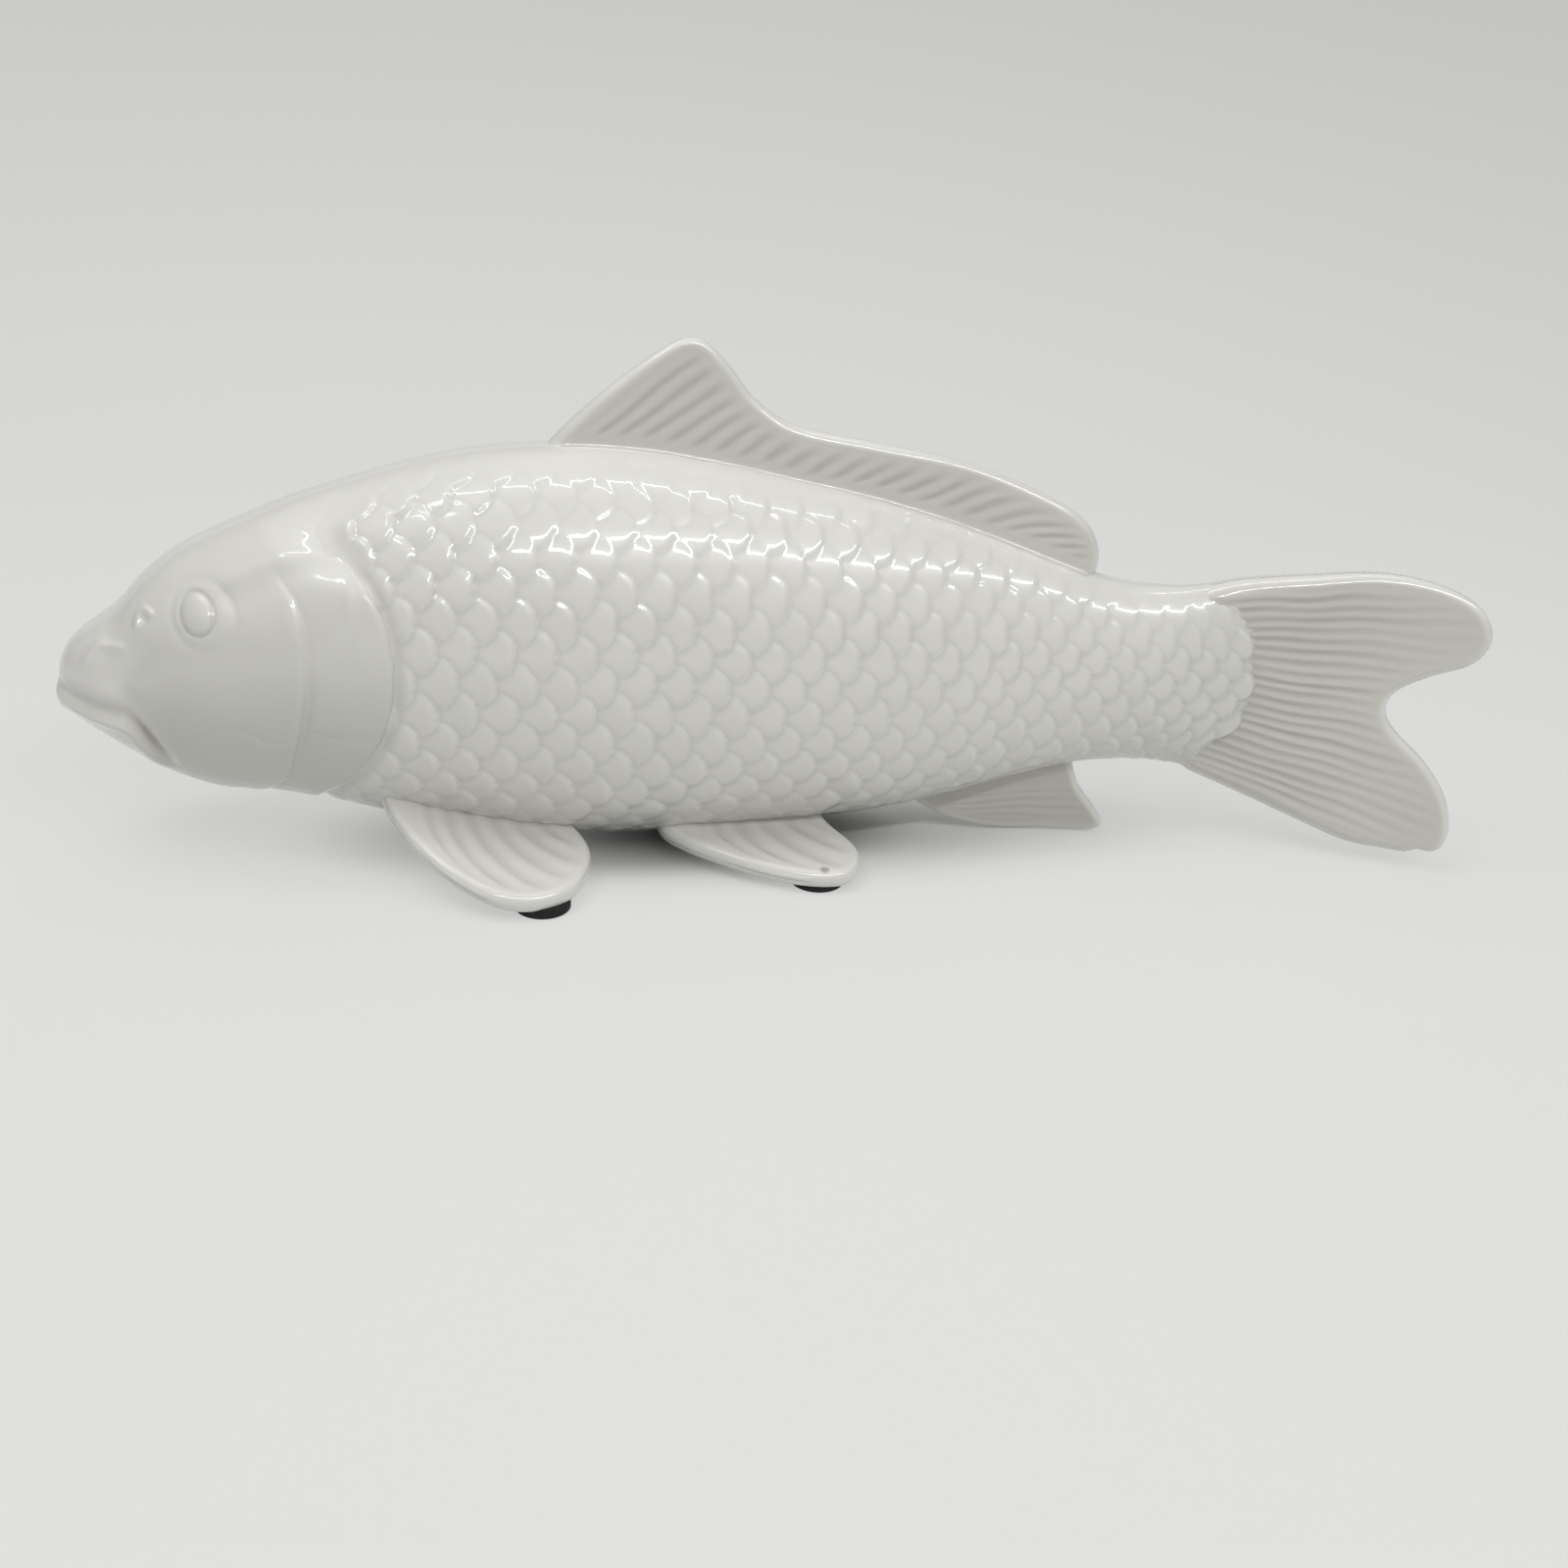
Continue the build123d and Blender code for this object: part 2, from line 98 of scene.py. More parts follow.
# Head relief: rear edges of the plates as height and station, other lines as station and height
CHEEK_EDGE = [
    (8.0, 34.0),
    (15.5, 39.8),
    (21.4, 44.9),
    (30.8, 48.2),
    (39.2, 49.9),
    (48.4, 50.9),
    (55.6, 50.2),
    (60.4, 48.6),
    (64.0, 45.8),
    (70.0, 40.0),
]
GILL_EDGE = [
    (2.0, 46.0),
    (14.5, 52.1),
    (21.7, 58.7),
    (30.3, 64.4),
    (38.0, 67.2),
    (46.8, 68.2),
    (52.7, 67.8),
    (58.9, 66.0),
    (63.7, 63.2),
    (68.0, 59.2),
    (72.0, 55.4),
    (75.3, 58.0),
    (79.4, 62.0),
    (84.0, 69.0),
    (90.0, 74.0),
]
CHEEK_STEP = 1.2
CHEEK_FADE = (52.0, 67.0)
PLATE_ROUND = 1.6
GILL_REAR = 68.2
NAPE_HEIGHTS = (61.0, 70.0)
NAPE_BLEND = 14.0
NAPE_SINK = 0.1
SNOUT_FOLD = [(19.5, 47.0), (16.0, 42.0), (15.3, 40.0), (17.4, 35.8)]
CHEEK_MARK = [(25.7, 28.9), (30.7, 31.3), (35.8, 33.8), (39.7, 32.7), (43.1, 31.1), (46.6, 31.4)]
GILL_MARK = [(52.0, 33.4), (56.6, 32.3), (61.0, 32.2), (65.2, 32.6)]
INNER_RIDGE = [(59.7, 64.8), (60.1, 61.0), (60.6, 57.6), (61.2, 52.5), (59.3, 49.2), (58.6, 45.3)]
TEMPLE_LINE = [(29.0, 59.5), (32.7, 61.0), (38.1, 63.2), (44.4, 66.4), (48.5, 68.3), (54.5, 69.8)]
SNOUT_CREASE = [(6.8, 42.0), (8.2, 43.9), (9.7, 45.9), (11.1, 46.9), (13.2, 47.1), (17.3, 47.3)]
EYE_STATION = 31.1
EYE_HEIGHT = 55.9
EYE_HALF_LENGTH = 3.2
EYE_HALF_HEIGHT = 3.6
EYE_BULGE = 0.9
SOCKET_STATION = 32.4
SOCKET_HEIGHT = 55.6
SOCKET_RADIUS = 5.7
NOSTRIL_CURL = [(18.7, 52.0), (18.9, 53.2), (19.4, 54.2), (20.5, 55.0), (21.6, 54.6)]
NOSTRIL_PIT = (20.3, 53.6)
MOUTH_LINE = [
    (-1.0, 38.0),
    (3.0, 36.2),
    (7.0, 34.8),
    (11.5, 33.9),
    (15.0, 33.2),
    (17.4, 31.2),
    (19.2, 28.0),
    (21.4, 23.8),
    (23.7, 20.5),
]
MOUTH_DEPTH = (1.2, 1.5)
MOUTH_GAP = (2.0, 1.6)
MOUTH_CORNER = (0.45, 0.7)
MOUTH_CLOSE = (0.86, 1.0)
LIP_THICKNESS = 5.0
LIP_SWELL = 1.1

# Raised or sunk lines of the head, each as its height or depth and its spread
CHEEK_LIP = (0.2, 1.6)
CHEEK_FOOT = (0.25, 0.9)
RIDGE_RISE = (0.2, 1.1)
TEMPLE_RISE = (0.9, 1.8)
TEMPLE_DIP = (0.4, 2.2)
CREASE_RISE = (0.45, 0.9)
CREASE_DIP = (0.12, 2.2)
FOLD_DIP = (0.75, 2.6)
MARK_DIP = (0.14, 0.5)
SOCKET_DIP = (0.15, 0.14)
EYE_DIP = (0.5, 0.11)
CURL_RISE = (0.55, 0.65)
PIT_DIP = (0.4, 0.8)

# Where they lie beside what they follow, and the shares over which they fade
CHEEK_LIP_BACK = 1.2
TEMPLE_DIP_ASIDE = 3.5
CREASE_DIP_ASIDE = 3.0
SOCKET_RIM = 1.12
SOCKET_RISE = 0.5
SOCKET_SLOPE = (0.6, 1.15)
EYE_RIM = 1.05
RIDGE_FADE = (0.7, 1.0)
TEMPLE_START = (0.0, 0.3)
CREASE_START = (0.0, 0.2)
CREASE_FADE = (0.8, 1.0)
FACE_SIDE = (0.2, 0.5)

# Glaze that gathers along the mouth, painted shade there and on the lower cheek, and the stain at the
# corner of the mouth
MOUTH_POOL_AND_SHADE = 0.6
CHEEK_PAINTED_SHADE = 1.8
CHEEK_SHADE_STATIONS = (8.0, 26.0)
CHEEK_SHADE_HEIGHTS = (30.0, 64.0)
STAIN_SPREAD = 0.9
STAIN_START = (0.5, 0.7)
STAIN_FADE = (0.75, 0.95)

# Scales: row spacing at stations along the body; pitch and radius are in row spacings
SCALE_ROWS = [(45.0, 5.9), (75.0, 6.2), (150.0, 6.2), (200.0, 5.9), (235.0, 5.3), (262.0, 4.9)]
SCALE_PITCH = 1.24
SCALE_RADIUS = 0.82
SCALE_LIFT = 1.25
SCALE_RIM = 1.2
SCALE_CROWN = 0.4
SCALE_WOBBLE = 0.1
SCALE_WOBBLE_PACE = 0.8
SCALE_WAVER = 0.3
SCALE_WAVER_PACE = (0.2, 0.3)
SCALE_TILT = 0.35
BELLY_RIPPLE = 0.16
RIPPLE_LENGTH = 3.0
RIPPLE_ANGLES = (0.5, 1.0)
# Width of the deeper-toned groove round each scale, pooled glaze and painted shade
GROOVE_WIDTH = 0.8
RIM_SINK = 1.6
BARE_RISE = (0.05, 0.45)
BARE_BAND = (5.0, 2.5)
# Valley behind the gill edge: its depth, place and width; the glaze in it gets painted shade
GILL_VALLEY = 0.5
VALLEY_BACK = 0.8
VALLEY_WIDTH = 1.3
# Painted shade: darker glaze low on the belly and towards the tail end
BELLY_PAINTED_SHADE = 0.5
BELLY_SHADE_HEIGHTS = (8.0, 40.0)
REAR_PAINTED_SHADE = 0.7
REAR_SHADE_STATIONS = (205.0, 255.0)

# Shallow carving: the share that is left, and the stations or section angles over which it changes
BELLY_CARVING = 0.2
BELLY_ANGLES = (0.3, 1.1)
BACK_CARVING = (0.85, 0.45)
BACK_STATIONS = (75.0, 105.0)
BACK_ANGLES = (1.75, 2.3)
BARE_RIDGE_START = (2.5, 2.2)
BARE_RIDGE_END = (2.95, 2.8)
BARE_RIDGE_STATIONS = (195.0, 225.0)

# Rounded end of the scaled body: station of its edge over height
SCALE_EDGE = [
    (12.0, 244.0),
    (19.4, 248.5),
    (30.0, 256.5),
    (39.0, 258.5),
    (50.0, 256.5),
    (58.0, 253.0),
    (64.0, 253.0),
]
SCALE_EDGE_REAR = 258.5
SCALE_EDGE_EASE = 35.0

# Fins
DORSAL_FRONT = 96.0
DORSAL_LENGTH = 121.5
DORSAL_HEIGHT = 23.2
DORSAL_HALF = (2.6, 1.4)
DORSAL_OUTLINE = [
    (0.0, -0.1),
    (0.06, 0.22),
    (0.13, 0.55),
    (0.23, 0.96),
    (0.27, 1.0),
    (0.315, 0.84),
    (0.36, 0.61),
    (0.43, 0.46),
    (0.57, 0.47),
    (0.74, 0.55),
    (0.9, 0.53),
    (0.97, 0.43),
    (1.0, 0.2),
    (0.995, -0.15),
]
DORSAL_RAYS = 25
DORSAL_RISE = (0.85, 0.36)
DORSAL_RAY_FOOT = (0.8, 3.5)
DORSAL_SEAT = 2.4
TAIL_ROOT = 246.0
TAIL_LENGTH = 58.7
TAIL_SPAN = 64.0
TAIL_CLEARANCE = 3.8
TAIL_HALF = (4.2, 1.5)
TAIL_OUTLINE = [
    (-0.18, 0.83),
    (-0.09, 0.885),
    (0.0, 0.918),
    (0.12, 0.942),
    (0.3, 0.967),
    (0.55, 1.0),
    (0.78, 0.98),
    (0.93, 0.915),
    (0.985, 0.82),
    (0.94, 0.73),
    (0.8, 0.66),
    (0.695, 0.59),
    (0.675, 0.525),
    (0.72, 0.455),
    (0.85, 0.355),
    (0.95, 0.245),
    (0.995, 0.14),
    (0.995, 0.06),
    (0.965, 0.024),
    (0.9, 0.02),
    (0.87, 0.005),
    (0.8, 0.003),
    (0.64, 0.01),
    (0.43, 0.07),
    (0.2, 0.145),
    (0.0, 0.21),
    (-0.04, 0.23),
]
TAIL_RAYS = 19
TAIL_RAY_LOW = (0.26, 0.0)
TAIL_RAY_HIGH = (0.86, 0.97)
TAIL_RAY_STRENGTH = 1.1
TAIL_RAY_CHANGE = 0.6
TAIL_RAY_PACE = (0.9, 2.5)
TAIL_RAY_LOSS = 0.75
TAIL_RAY_FADE = (0.3, 0.9)
TAIL_SEAT_TOP = (-14.0, -3.0)
TAIL_SEAT_BOTTOM = (-5.0, 3.0)
ANAL_FRONT = 179.0
ANAL_LENGTH = 48.5
ANAL_HEIGHT = 18.0
ANAL_HALF = (1.5, 2.3)
ANAL_OUTLINE = [
    (0.0, 0.55),
    (0.12, 0.32),
    (0.25, 0.15),
    (0.45, 0.03),
    (0.7, 0.03),
    (0.94, 0.03),
    (1.0, 0.12),
    (0.95, 0.36),
    (0.87, 0.62),
    (0.82, 0.92),
    (0.81, 1.2),
]
ANAL_RAYS = 6
ANAL_RAY_LOW = (0.1, 0.05)
ANAL_RAY_HIGH = (0.5, 0.95)
ANAL_SEAT_FRONT = (4.0, 3.0)
ANAL_SEAT_REAR = (-4.0, 1.0)
PECTORAL_OUTLINE = [
    (0.0, 0.1),
    (0.05, 0.39),
    (0.15, 0.62),
    (0.27, 0.79),
    (0.42, 0.925),
    (0.58, 1.0),
    (0.77, 0.98),
    (0.9, 0.89),
    (0.97, 0.74),
    (1.0, 0.56),
    (0.96, 0.38),
    (0.86, 0.24),
    (0.78, 0.1),
]
PELVIC_OUTLINE = [
    (-0.14, 0.1),
    (-0.1, 0.38),
    (0.02, 0.56),
    (0.16, 0.69),
    (0.35, 0.84),
    (0.55, 0.95),
    (0.76, 1.0),
    (0.9, 0.96),
    (0.98, 0.8),
    (0.98, 0.62),
    (0.9, 0.4),
    (0.8, 0.1),
]
PECTORAL = {
    "front": 62.0,
    "length": 45.0,
    "reach": 40.7,
    "thickness": 3.4,
    "root_fall": 11.0,
    "edge_fall": 9.5,
    "droop": 4.0,
    "rays": 9,
}
PELVIC = {
    "front": 126.5,
    "length": 38.5,
    "reach": 32.3,
    "thickness": 3.2,
    "root_fall": 0.0,
    "edge_fall": 1.0,
    "droop": 3.0,
    "rays": 7,
}
PAIRED_BOW = 0.09
PAIRED_FALL_CURVE = 1.5
PAIRED_EDGE_REST = 0.75
PAIRED_UNDERSIDE = 1.5
PAIRED_SEAT_INSET = 1.0
PAIRED_SEAT_DEPTH = 2.0
PAIRED_SEAT_SPREAD = (0.15, 1.05)
PAIRED_RAY_FIRST = 0.4
PAIRED_RAY_SPAN = 0.58
PAIRED_RAY_START = (0.38, 0.5)
PAIRED_RAY_ROOT = (0.2, 0.45)
RAY_DEPTH = 0.34
RAY_MARGIN = (1.2, 6.0)
RAY_WAVER = 0.8
RAY_WAVER_PACE = (0.07, 0.15)
ROOT_FILLET = 1.3
FOOT_FILLET = 0.5

# Share of deeper tone on the open field of a blade, pooled glaze and painted shade together, and how it
# thins towards the rim
DORSAL_FIELD = 0.5
TAIL_FIELD = 0.6
ANAL_FIELD = 1.0
PAIRED_FIELD = 0.0
FIELD_MARGIN = (0.5, 2.2)

# Feet
PAD_THICKNESS = 2.3
PAD_DIAMETER = 11.5
PAD_ROUND = 0.4
PAD_HIDDEN = 0.9
FOOT_SINK = 0.3

# Finishes
# Glaze tones: white where thin, and a deeper tone that stands for pooled glaze and painted shade
GLAZE_THIN = (0.73, 0.72, 0.685, 1)
BODY_GLAZE_POOL_AND_SHADE = (0.52, 0.515, 0.475, 1)
BODY_POOL_AND_SHADE_SHARE = 0.4
FIN_GLAZE_POOL_AND_SHADE = (0.47, 0.463, 0.41, 1)
FIN_POOL_AND_SHADE_SHARE = 0.8
GLAZE_CLOUD = 0.3
GLAZE_ROUGHNESS = 0.2
GLAZE_ROUGHNESS_CHANGE = 0.08
GLAZE_COAT_ROUGHNESS = 0.03
STAIN_TONE = (0.2, 0.16, 0.11, 1)
STAIN_STRENGTH = 0.55
SPECK_TONE = (0.2, 0.14, 0.08, 1)
SPECK_STRENGTH = 0.6
RUBBER_BLACK = (0.008, 0.008, 0.009, 1)
RUBBER_DUST = (0.03, 0.03, 0.032, 1)
RUBBER_ROUGHNESS = 0.6
RUBBER_ROUGHNESS_CHANGE = 0.2
RUBBER_SHINE = 0.2

# Brown specks in the glaze: station, distance aside, height and radius
SPECKS = [(70.1, -21.6, 25.2, 0.5), (71.9, -20.4, 22.1, 0.5), (155.5, -30.7, 5.4, 1.3)]

# Meshes: grids, how their lines crowd together, and how the open ends tuck in and close
HEAD_ROWS = 200
HEAD_COLUMNS = 420
HEAD_CROWDING = 0.4
HEAD_CLOSE_STATION = 44.9
HEAD_CLOSE_LEVEL = 37
TRUNK_ROWS = 400
TRUNK_COLUMNS = 236
TRUNK_CROWDING = 0.2
TRUNK_CLOSE_LEVEL = 45
DORSAL_GRID = (240, 90)
TAIL_GRID = (320, 60)
ANAL_GRID = (160, 40)
PAIRED_GRID = (200, 60)
RIM_STEPS = 800
PAD_SIDES = 64
END_TUCK = 2.5
SHARP_FOLD = radians(70)

# View: image and focal length in pixels, place in millimetres, angles in degrees
IMAGE_SIDE = 1600
FOCAL_PIXELS = 1641.8
SENSOR = 36.0
CAMERA_STATION = 86.9
CAMERA_ASIDE = -326.5
CAMERA_HEIGHT = 158.3
CAMERA_PITCH = 23.81
CAMERA_YAW = 11.2
CAMERA_ROLL = 3.98


def between(first, last, share):
    return first + (last - first) * share


def clamp(share):
    return min(max(share, 0.0), 1.0)


def ease(value, low, high):
    """Smooth rise from 0 at low to 1 at high."""
    share = clamp((value - low) / (high - low))
    return share * share * (3 - 2 * share)


def hump(value, width):
    return exp(-((value / width) ** 2))


def bead(distance, height, spread):
    """Height of a soft raised line at a distance from its middle."""
    return height * hump(distance, spread)


def smooth_line(points):
    """Cubic through points, each a place and its values, as a function of the place."""
    places = [point[0] for point in points]
    slopes = []
    for index in range(len(points)):
        before = points[max(index - 1, 0)]
        after = points[min(index + 1, len(points) - 1)]
        run = after[0] - before[0]
        slopes.append([(high - low) / run for low, high in zip(before[1:], after[1:])])

    def value(place):
        index = min(max(bisect_right(places, place) - 1, 0), len(points) - 2)
        run = places[index + 1] - places[index]
        t = clamp((place - places[index]) / run)
        start = t * t * (2 * t - 3) + 1
        leave = t * (1 - t) ** 2 * run
        reach = t * t * (t - 1) * run
        first = points[index][1:]
        last = points[index + 1][1:]
        parts = zip(first, last, slopes[index], slopes[index + 1])
        return [a * start + b * (1 - start) + p * leave + q * reach for a, b, p, q in parts]

    return value


def smooth_path(points):
    """Smooth curve through plane points, as a function of the share of its length."""
    run = 0.0
    measured = [(run, *points[0])]
    for first, last in zip(points, points[1:]):
        run += hypot(last[0] - first[0], last[1] - first[1])
        measured.append((run, *last))
    line = smooth_line(measured)
    return lambda share: line(share * run)


def sampled(path, steps):
    """Search tree of points along a path."""
    samples = kdtree.KDTree(steps + 1)
    for step in range(steps + 1):
        samples.insert((*path(step / steps), 0.0), step)
    samples.balance()
    return samples


def spine(station):
    """Plan position and heading of the middle plane."""
    turn = max(0.0, station - BEND_START) / BEND_RADIUS
    along = min(station, BEND_START) + BEND_RADIUS * sin(turn)
    aside = -BEND_RADIUS * (1 - cos(turn))
    return along, aside, turn


MIDDLE = spine(TAIL_END)[0] / 2


def set_out(station, aside, height):
    """Point in the part's frame, aside being square to the middle plane."""
    along, sweep, turn = spine(station)
    return Vector((along + aside * sin(turn) - MIDDLE, sweep + aside * cos(turn), height))


def level(percent):
    return BELLY_CLEARANCE + percent / 100 * BODY_DEPTH


def body_lines(rows):
    points = []
    for station, back, belly, width in rows:
        half_width = width / 100 * BODY_HALF_WIDTH
        points.append((station / 100 * BODY_LENGTH, level(back), level(belly), half_width))
    return smooth_line(points)


head_lines = body_lines(HEAD_LINES)
trunk_lines = body_lines(TRUNK_LINES)
cheek_edge = smooth_line(CHEEK_EDGE)
gill_edge = smooth_line(GILL_EDGE)
scale_edge = smooth_line(SCALE_EDGE)
scale_rows = smooth_line(SCALE_ROWS)


def section_point(lines, station, angle, lift=0.0):
    """Half breadth and height on an elliptical section; the angle runs from the belly up to the back."""
    back, belly, half_width = lines(station)
    half_height = (back - belly) / 2
    across = sin(angle)
    upward = -cos(angle)
    lean = hypot(across / half_width, upward / half_height)
    aside = half_width * across + lift * across / half_width / lean
    height = (back + belly) / 2 + half_height * upward + lift * upward / half_height / lean
    return aside, height


def girth(half_width, half_height, angle, steps=8):
    """Distance round the section from its widest line up to an angle."""
    total = 0.0
    turn = angle - pi / 2
    for step in range(steps):
        at = pi / 2 + turn * (step + 0.5) / steps
        total += hypot(half_width * cos(at), half_height * sin(at))
    return total * turn / steps


def smooth_object(name, bm, material):
    """Smooth-shaded object from a finished mesh."""
    for face in bm.faces:
        face.smooth = True
    mesh = bpy.data.meshes.new(name)
    bm.to_mesh(mesh)
    bm.free()
    mesh.materials.append(material)
    made = bpy.data.objects.new(name, mesh)
    bpy.context.collection.objects.link(made)
    return made


def new_piece(name, bm, material, node):
    """Finish a mesh as a piece that stands for its node."""
    bmesh.ops.remove_doubles(bm, verts=bm.verts, dist=WELD)
    bmesh.ops.recalc_face_normals(bm, faces=bm.faces)
    piece = smooth_object(name, bm, material)
    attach(piece, "root")
    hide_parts(node)


# Scale pattern


def scale_count(steps=200):
    """Scales passed from the head to each station, as a smooth line."""
    first = SCALE_ROWS[0][0]
    last = SCALE_ROWS[-1][0]
    passed = 0.0
    points = [(first, passed)]
    for step in range(steps):
        station = between(first, last, (step + 0.5) / steps)
        passed += (last - first) / steps / (SCALE_PITCH * scale_rows(station)[0])
        points.append((between(first, last, (step + 1) / steps), passed))
    return smooth_line(points)


scales_passed = scale_count()
LAST_SCALE = scales_passed(SCALE_EDGE_REAR)[0] * SCALE_PITCH - SCALE_RADIUS


def scale_relief(station, up):
    """Height of the overlapping scales and depth of the groove round them, both from 0 to 1; the groove
    only deepens the glaze tone, as pooled glaze and painted shade.
    """
    spacing = scale_rows(station)[0]
    across = up / spacing
    along = scales_passed(station)[0] * SCALE_PITCH
    pace = SCALE_WOBBLE_PACE
    along += SCALE_WOBBLE * noise.noise(Vector((along * pace, across * pace, 0.0)))
    across += SCALE_WOBBLE * noise.noise(Vector((along * pace, across * pace, 9.0)))
    waver = Vector((along * SCALE_WAVER_PACE[0], across * SCALE_WAVER_PACE[1], 5.0))
    across += SCALE_WAVER * noise.noise(waver)
    outer = SCALE_RADIUS + 2 * GROOVE_WIDTH / spacing
    found = []
    for row in range(ceil(across - outer), ceil(across + outer)):
        offset = across - row
        reach = sqrt(max(outer**2 - offset**2, 0.0))
        stagger = 0.5 * (row % 2)
        place = ceil((along - reach) / SCALE_PITCH - stagger)
        while (place + stagger) * SCALE_PITCH < along + reach:
            centre = (place + stagger) * SCALE_PITCH
            if centre <= LAST_SCALE:
                lean = noise.cell_vector(Vector((place + 0.5, row + 0.5, 0.5)))
                found.append((centre, offset, lean))
            place += 1
    height = 0.0
    groove = 0.0
    for centre, offset, lean in sorted(found, key=lambda scale: -scale[0]):
        back = along - centre
        rim = (SCALE_RADIUS - hypot(back, offset)) * spacing
        if rim > 0:
            cover = ease(rim, -0.2 * SCALE_RIM, SCALE_RIM)
            crown = 0.5 + 0.5 * back / SCALE_RADIUS - SCALE_CROWN * offset**2
            crown += SCALE_TILT * ((lean.x - 0.5) * offset + (lean.y - 0.5) * back)
            height = between(height, crown, cover)
            groove = between(groove, 0.0, cover)
        else:
            groove = max(groove, hump(rim, GROOVE_WIDTH))
    return height, groove


def scale_strength(station, height, angle):
    """The carving is shallow under the belly, over the back, behind the nape and along the ridge."""
    belly = between(BELLY_CARVING, 1.0, ease(angle, *BELLY_ANGLES))
    left = between(*BACK_CARVING, ease(station, *BACK_STATIONS))
    back = between(1.0, left, ease(angle, *BACK_ANGLES))
    behind = station - gill_edge(height)[0]
    nape = 1 - ease(height, *NAPE_HEIGHTS) * (1 - ease(behind, 0.0, NAPE_BLEND / 2))
    rear = ease(station, *BARE_RIDGE_STATIONS)
    ridge = 1 - ease(angle, between(*BARE_RIDGE_START, rear), between(*BARE_RIDGE_END, rear))
    return belly * back * nape * ridge


# Trunk, in two halves that close on the middle plane


def trunk_mesh(hand):
    """One side of the scaled body; hand is -1 on the fish's left."""
    bm = bmesh.new()
    pool_and_shade = bm.verts.layers.float.new("pool_and_shade")
    bmesh.ops.create_grid(bm, x_segments=TRUNK_ROWS, y_segments=TRUNK_COLUMNS, size=0.5)
    first = SCALE_ROWS[0][0]
    for vert in bm.verts:
        ring = round((vert.co.x + 0.5) * TRUNK_ROWS)
        column = round((vert.co.y + 0.5) * TRUNK_COLUMNS)
        share = (column - 1) / (TRUNK_COLUMNS - 2)
        angle = pi * share + TRUNK_CROWDING * sin(tau * share)
        plain = between(first, SCALE_EDGE_REAR, clamp((ring - 1) / (TRUNK_ROWS - 3)))
        height = section_point(trunk_lines, plain, angle)[1]
        drawn_in = SCALE_EDGE_REAR - scale_edge(height)[0]
        station = plain - drawn_in * ease(plain, SCALE_EDGE_REAR - SCALE_EDGE_EASE, SCALE_EDGE_REAR)
        if ring in (0, TRUNK_ROWS):
            end = between(first, TAIL_ROOT, ring / TRUNK_ROWS)
            vert.co = set_out(end, 0.0, level(TRUNK_CLOSE_LEVEL)) * MM
            continue
        back, belly, half_width = trunk_lines(station)
        if column in (0, TRUNK_COLUMNS):
            vert.co = set_out(station, 0.0, (back + belly) / 2) * MM
            continue
        rise, groove = scale_relief(plain, girth(half_width, (back - belly) / 2, angle))
        strength = scale_strength(station, height, angle)
        # Valley behind the gill edge, sunk and darkened with painted shade
        valley = hump(station - gill_edge(height)[0] - VALLEY_BACK, VALLEY_WIDTH)
        valley *= 1 - ease(height, *NAPE_HEIGHTS)
        band = ease(plain, SCALE_EDGE_REAR - BARE_BAND[0], SCALE_EDGE_REAR - BARE_BAND[1])
        bare = (1 - ease(rise, *BARE_RISE)) * band
        lift = (SCALE_LIFT * rise - RIM_SINK * bare) * strength - GILL_VALLEY * valley
        # Deeper tone: pooled glaze and painted shade in the scale grooves and gill valley, painted shade
        # low on the belly and towards the tail end
        vert[pool_and_shade] = max(groove * strength, valley) + BELLY_PAINTED_SHADE * (1 - ease(height, *BELLY_SHADE_HEIGHTS))
        vert[pool_and_shade] += REAR_PAINTED_SHADE * ease(station, *REAR_SHADE_STATIONS)
        ripple = noise.noise(Vector((station, angle * BODY_HALF_WIDTH, 0.0)) / RIPPLE_LENGTH)
        lift += BELLY_RIPPLE * ripple * (1 - ease(angle, *RIPPLE_ANGLES))
        if ring == TRUNK_ROWS - 1:
            lift = -END_TUCK
        aside, height = section_point(trunk_lines, station, angle, lift)
        vert.co = set_out(station, hand * aside, height) * MM
    bm.normal_update()
    for edge in bm.edges:
        edge.smooth = edge.calc_face_angle(0.0) < SHARP_FOLD
    return bm


# Head


def traced(points, steps=160):
    """Line drawn on the head: a function that gives a point's distance from it, its share and its side."""
    path = smooth_path(points)
    samples = sampled(path, steps)

    def nearest(station, height):
        place, step, distance = samples.find((station, height, 0.0))
        start = path(max(step - 1, 0) / steps)
        end = path(min(step + 1, steps) / steps)
        turn = (end[0] - start[0]) * (height - place[1]) - (end[1] - start[1]) * (station - place[0])
        return distance, step / steps, 1 if turn > 0 else -1

    return nearest


from_mouth = traced(MOUTH_LINE)
from_crease = traced(SNOUT_CREASE)
from_temple = traced(TEMPLE_LINE)
from_fold = traced(SNOUT_FOLD)
from_marks = (traced(CHEEK_MARK), traced(GILL_MARK))
from_ridge = traced(INNER_RIDGE)
from_curl = traced(NOSTRIL_CURL)


def mouth_relief(station, height):
    """Cleft between the lips, the overhang above it and the swell of the lower lip."""
    distance, share, side = from_mouth(station, height)
    closing = 1 - ease(share, *MOUTH_CLOSE)
    corner = ease(share, *MOUTH_CORNER)
    lift = -between(*MOUTH_DEPTH, corner) * hump(distance, between(*MOUTH_GAP, corner))
    if side < 0:
        lift += bead(distance - LIP_THICKNESS / 2, LIP_SWELL, LIP_THICKNESS / 3) * (1 - 0.5 * corner)
    return lift * closing


def crease_relief(station, height):
    """Raised crease along the snout, with a hollow under it."""
    distance, share, side = from_crease(station, height)
    ends = ease(share, *CREASE_START) * (1 - ease(share, *CREASE_FADE))
    lift = bead(distance, *CREASE_RISE)
    if side < 0:
        lift -= bead(distance - CREASE_DIP_ASIDE, *CREASE_DIP)
    return lift * ends


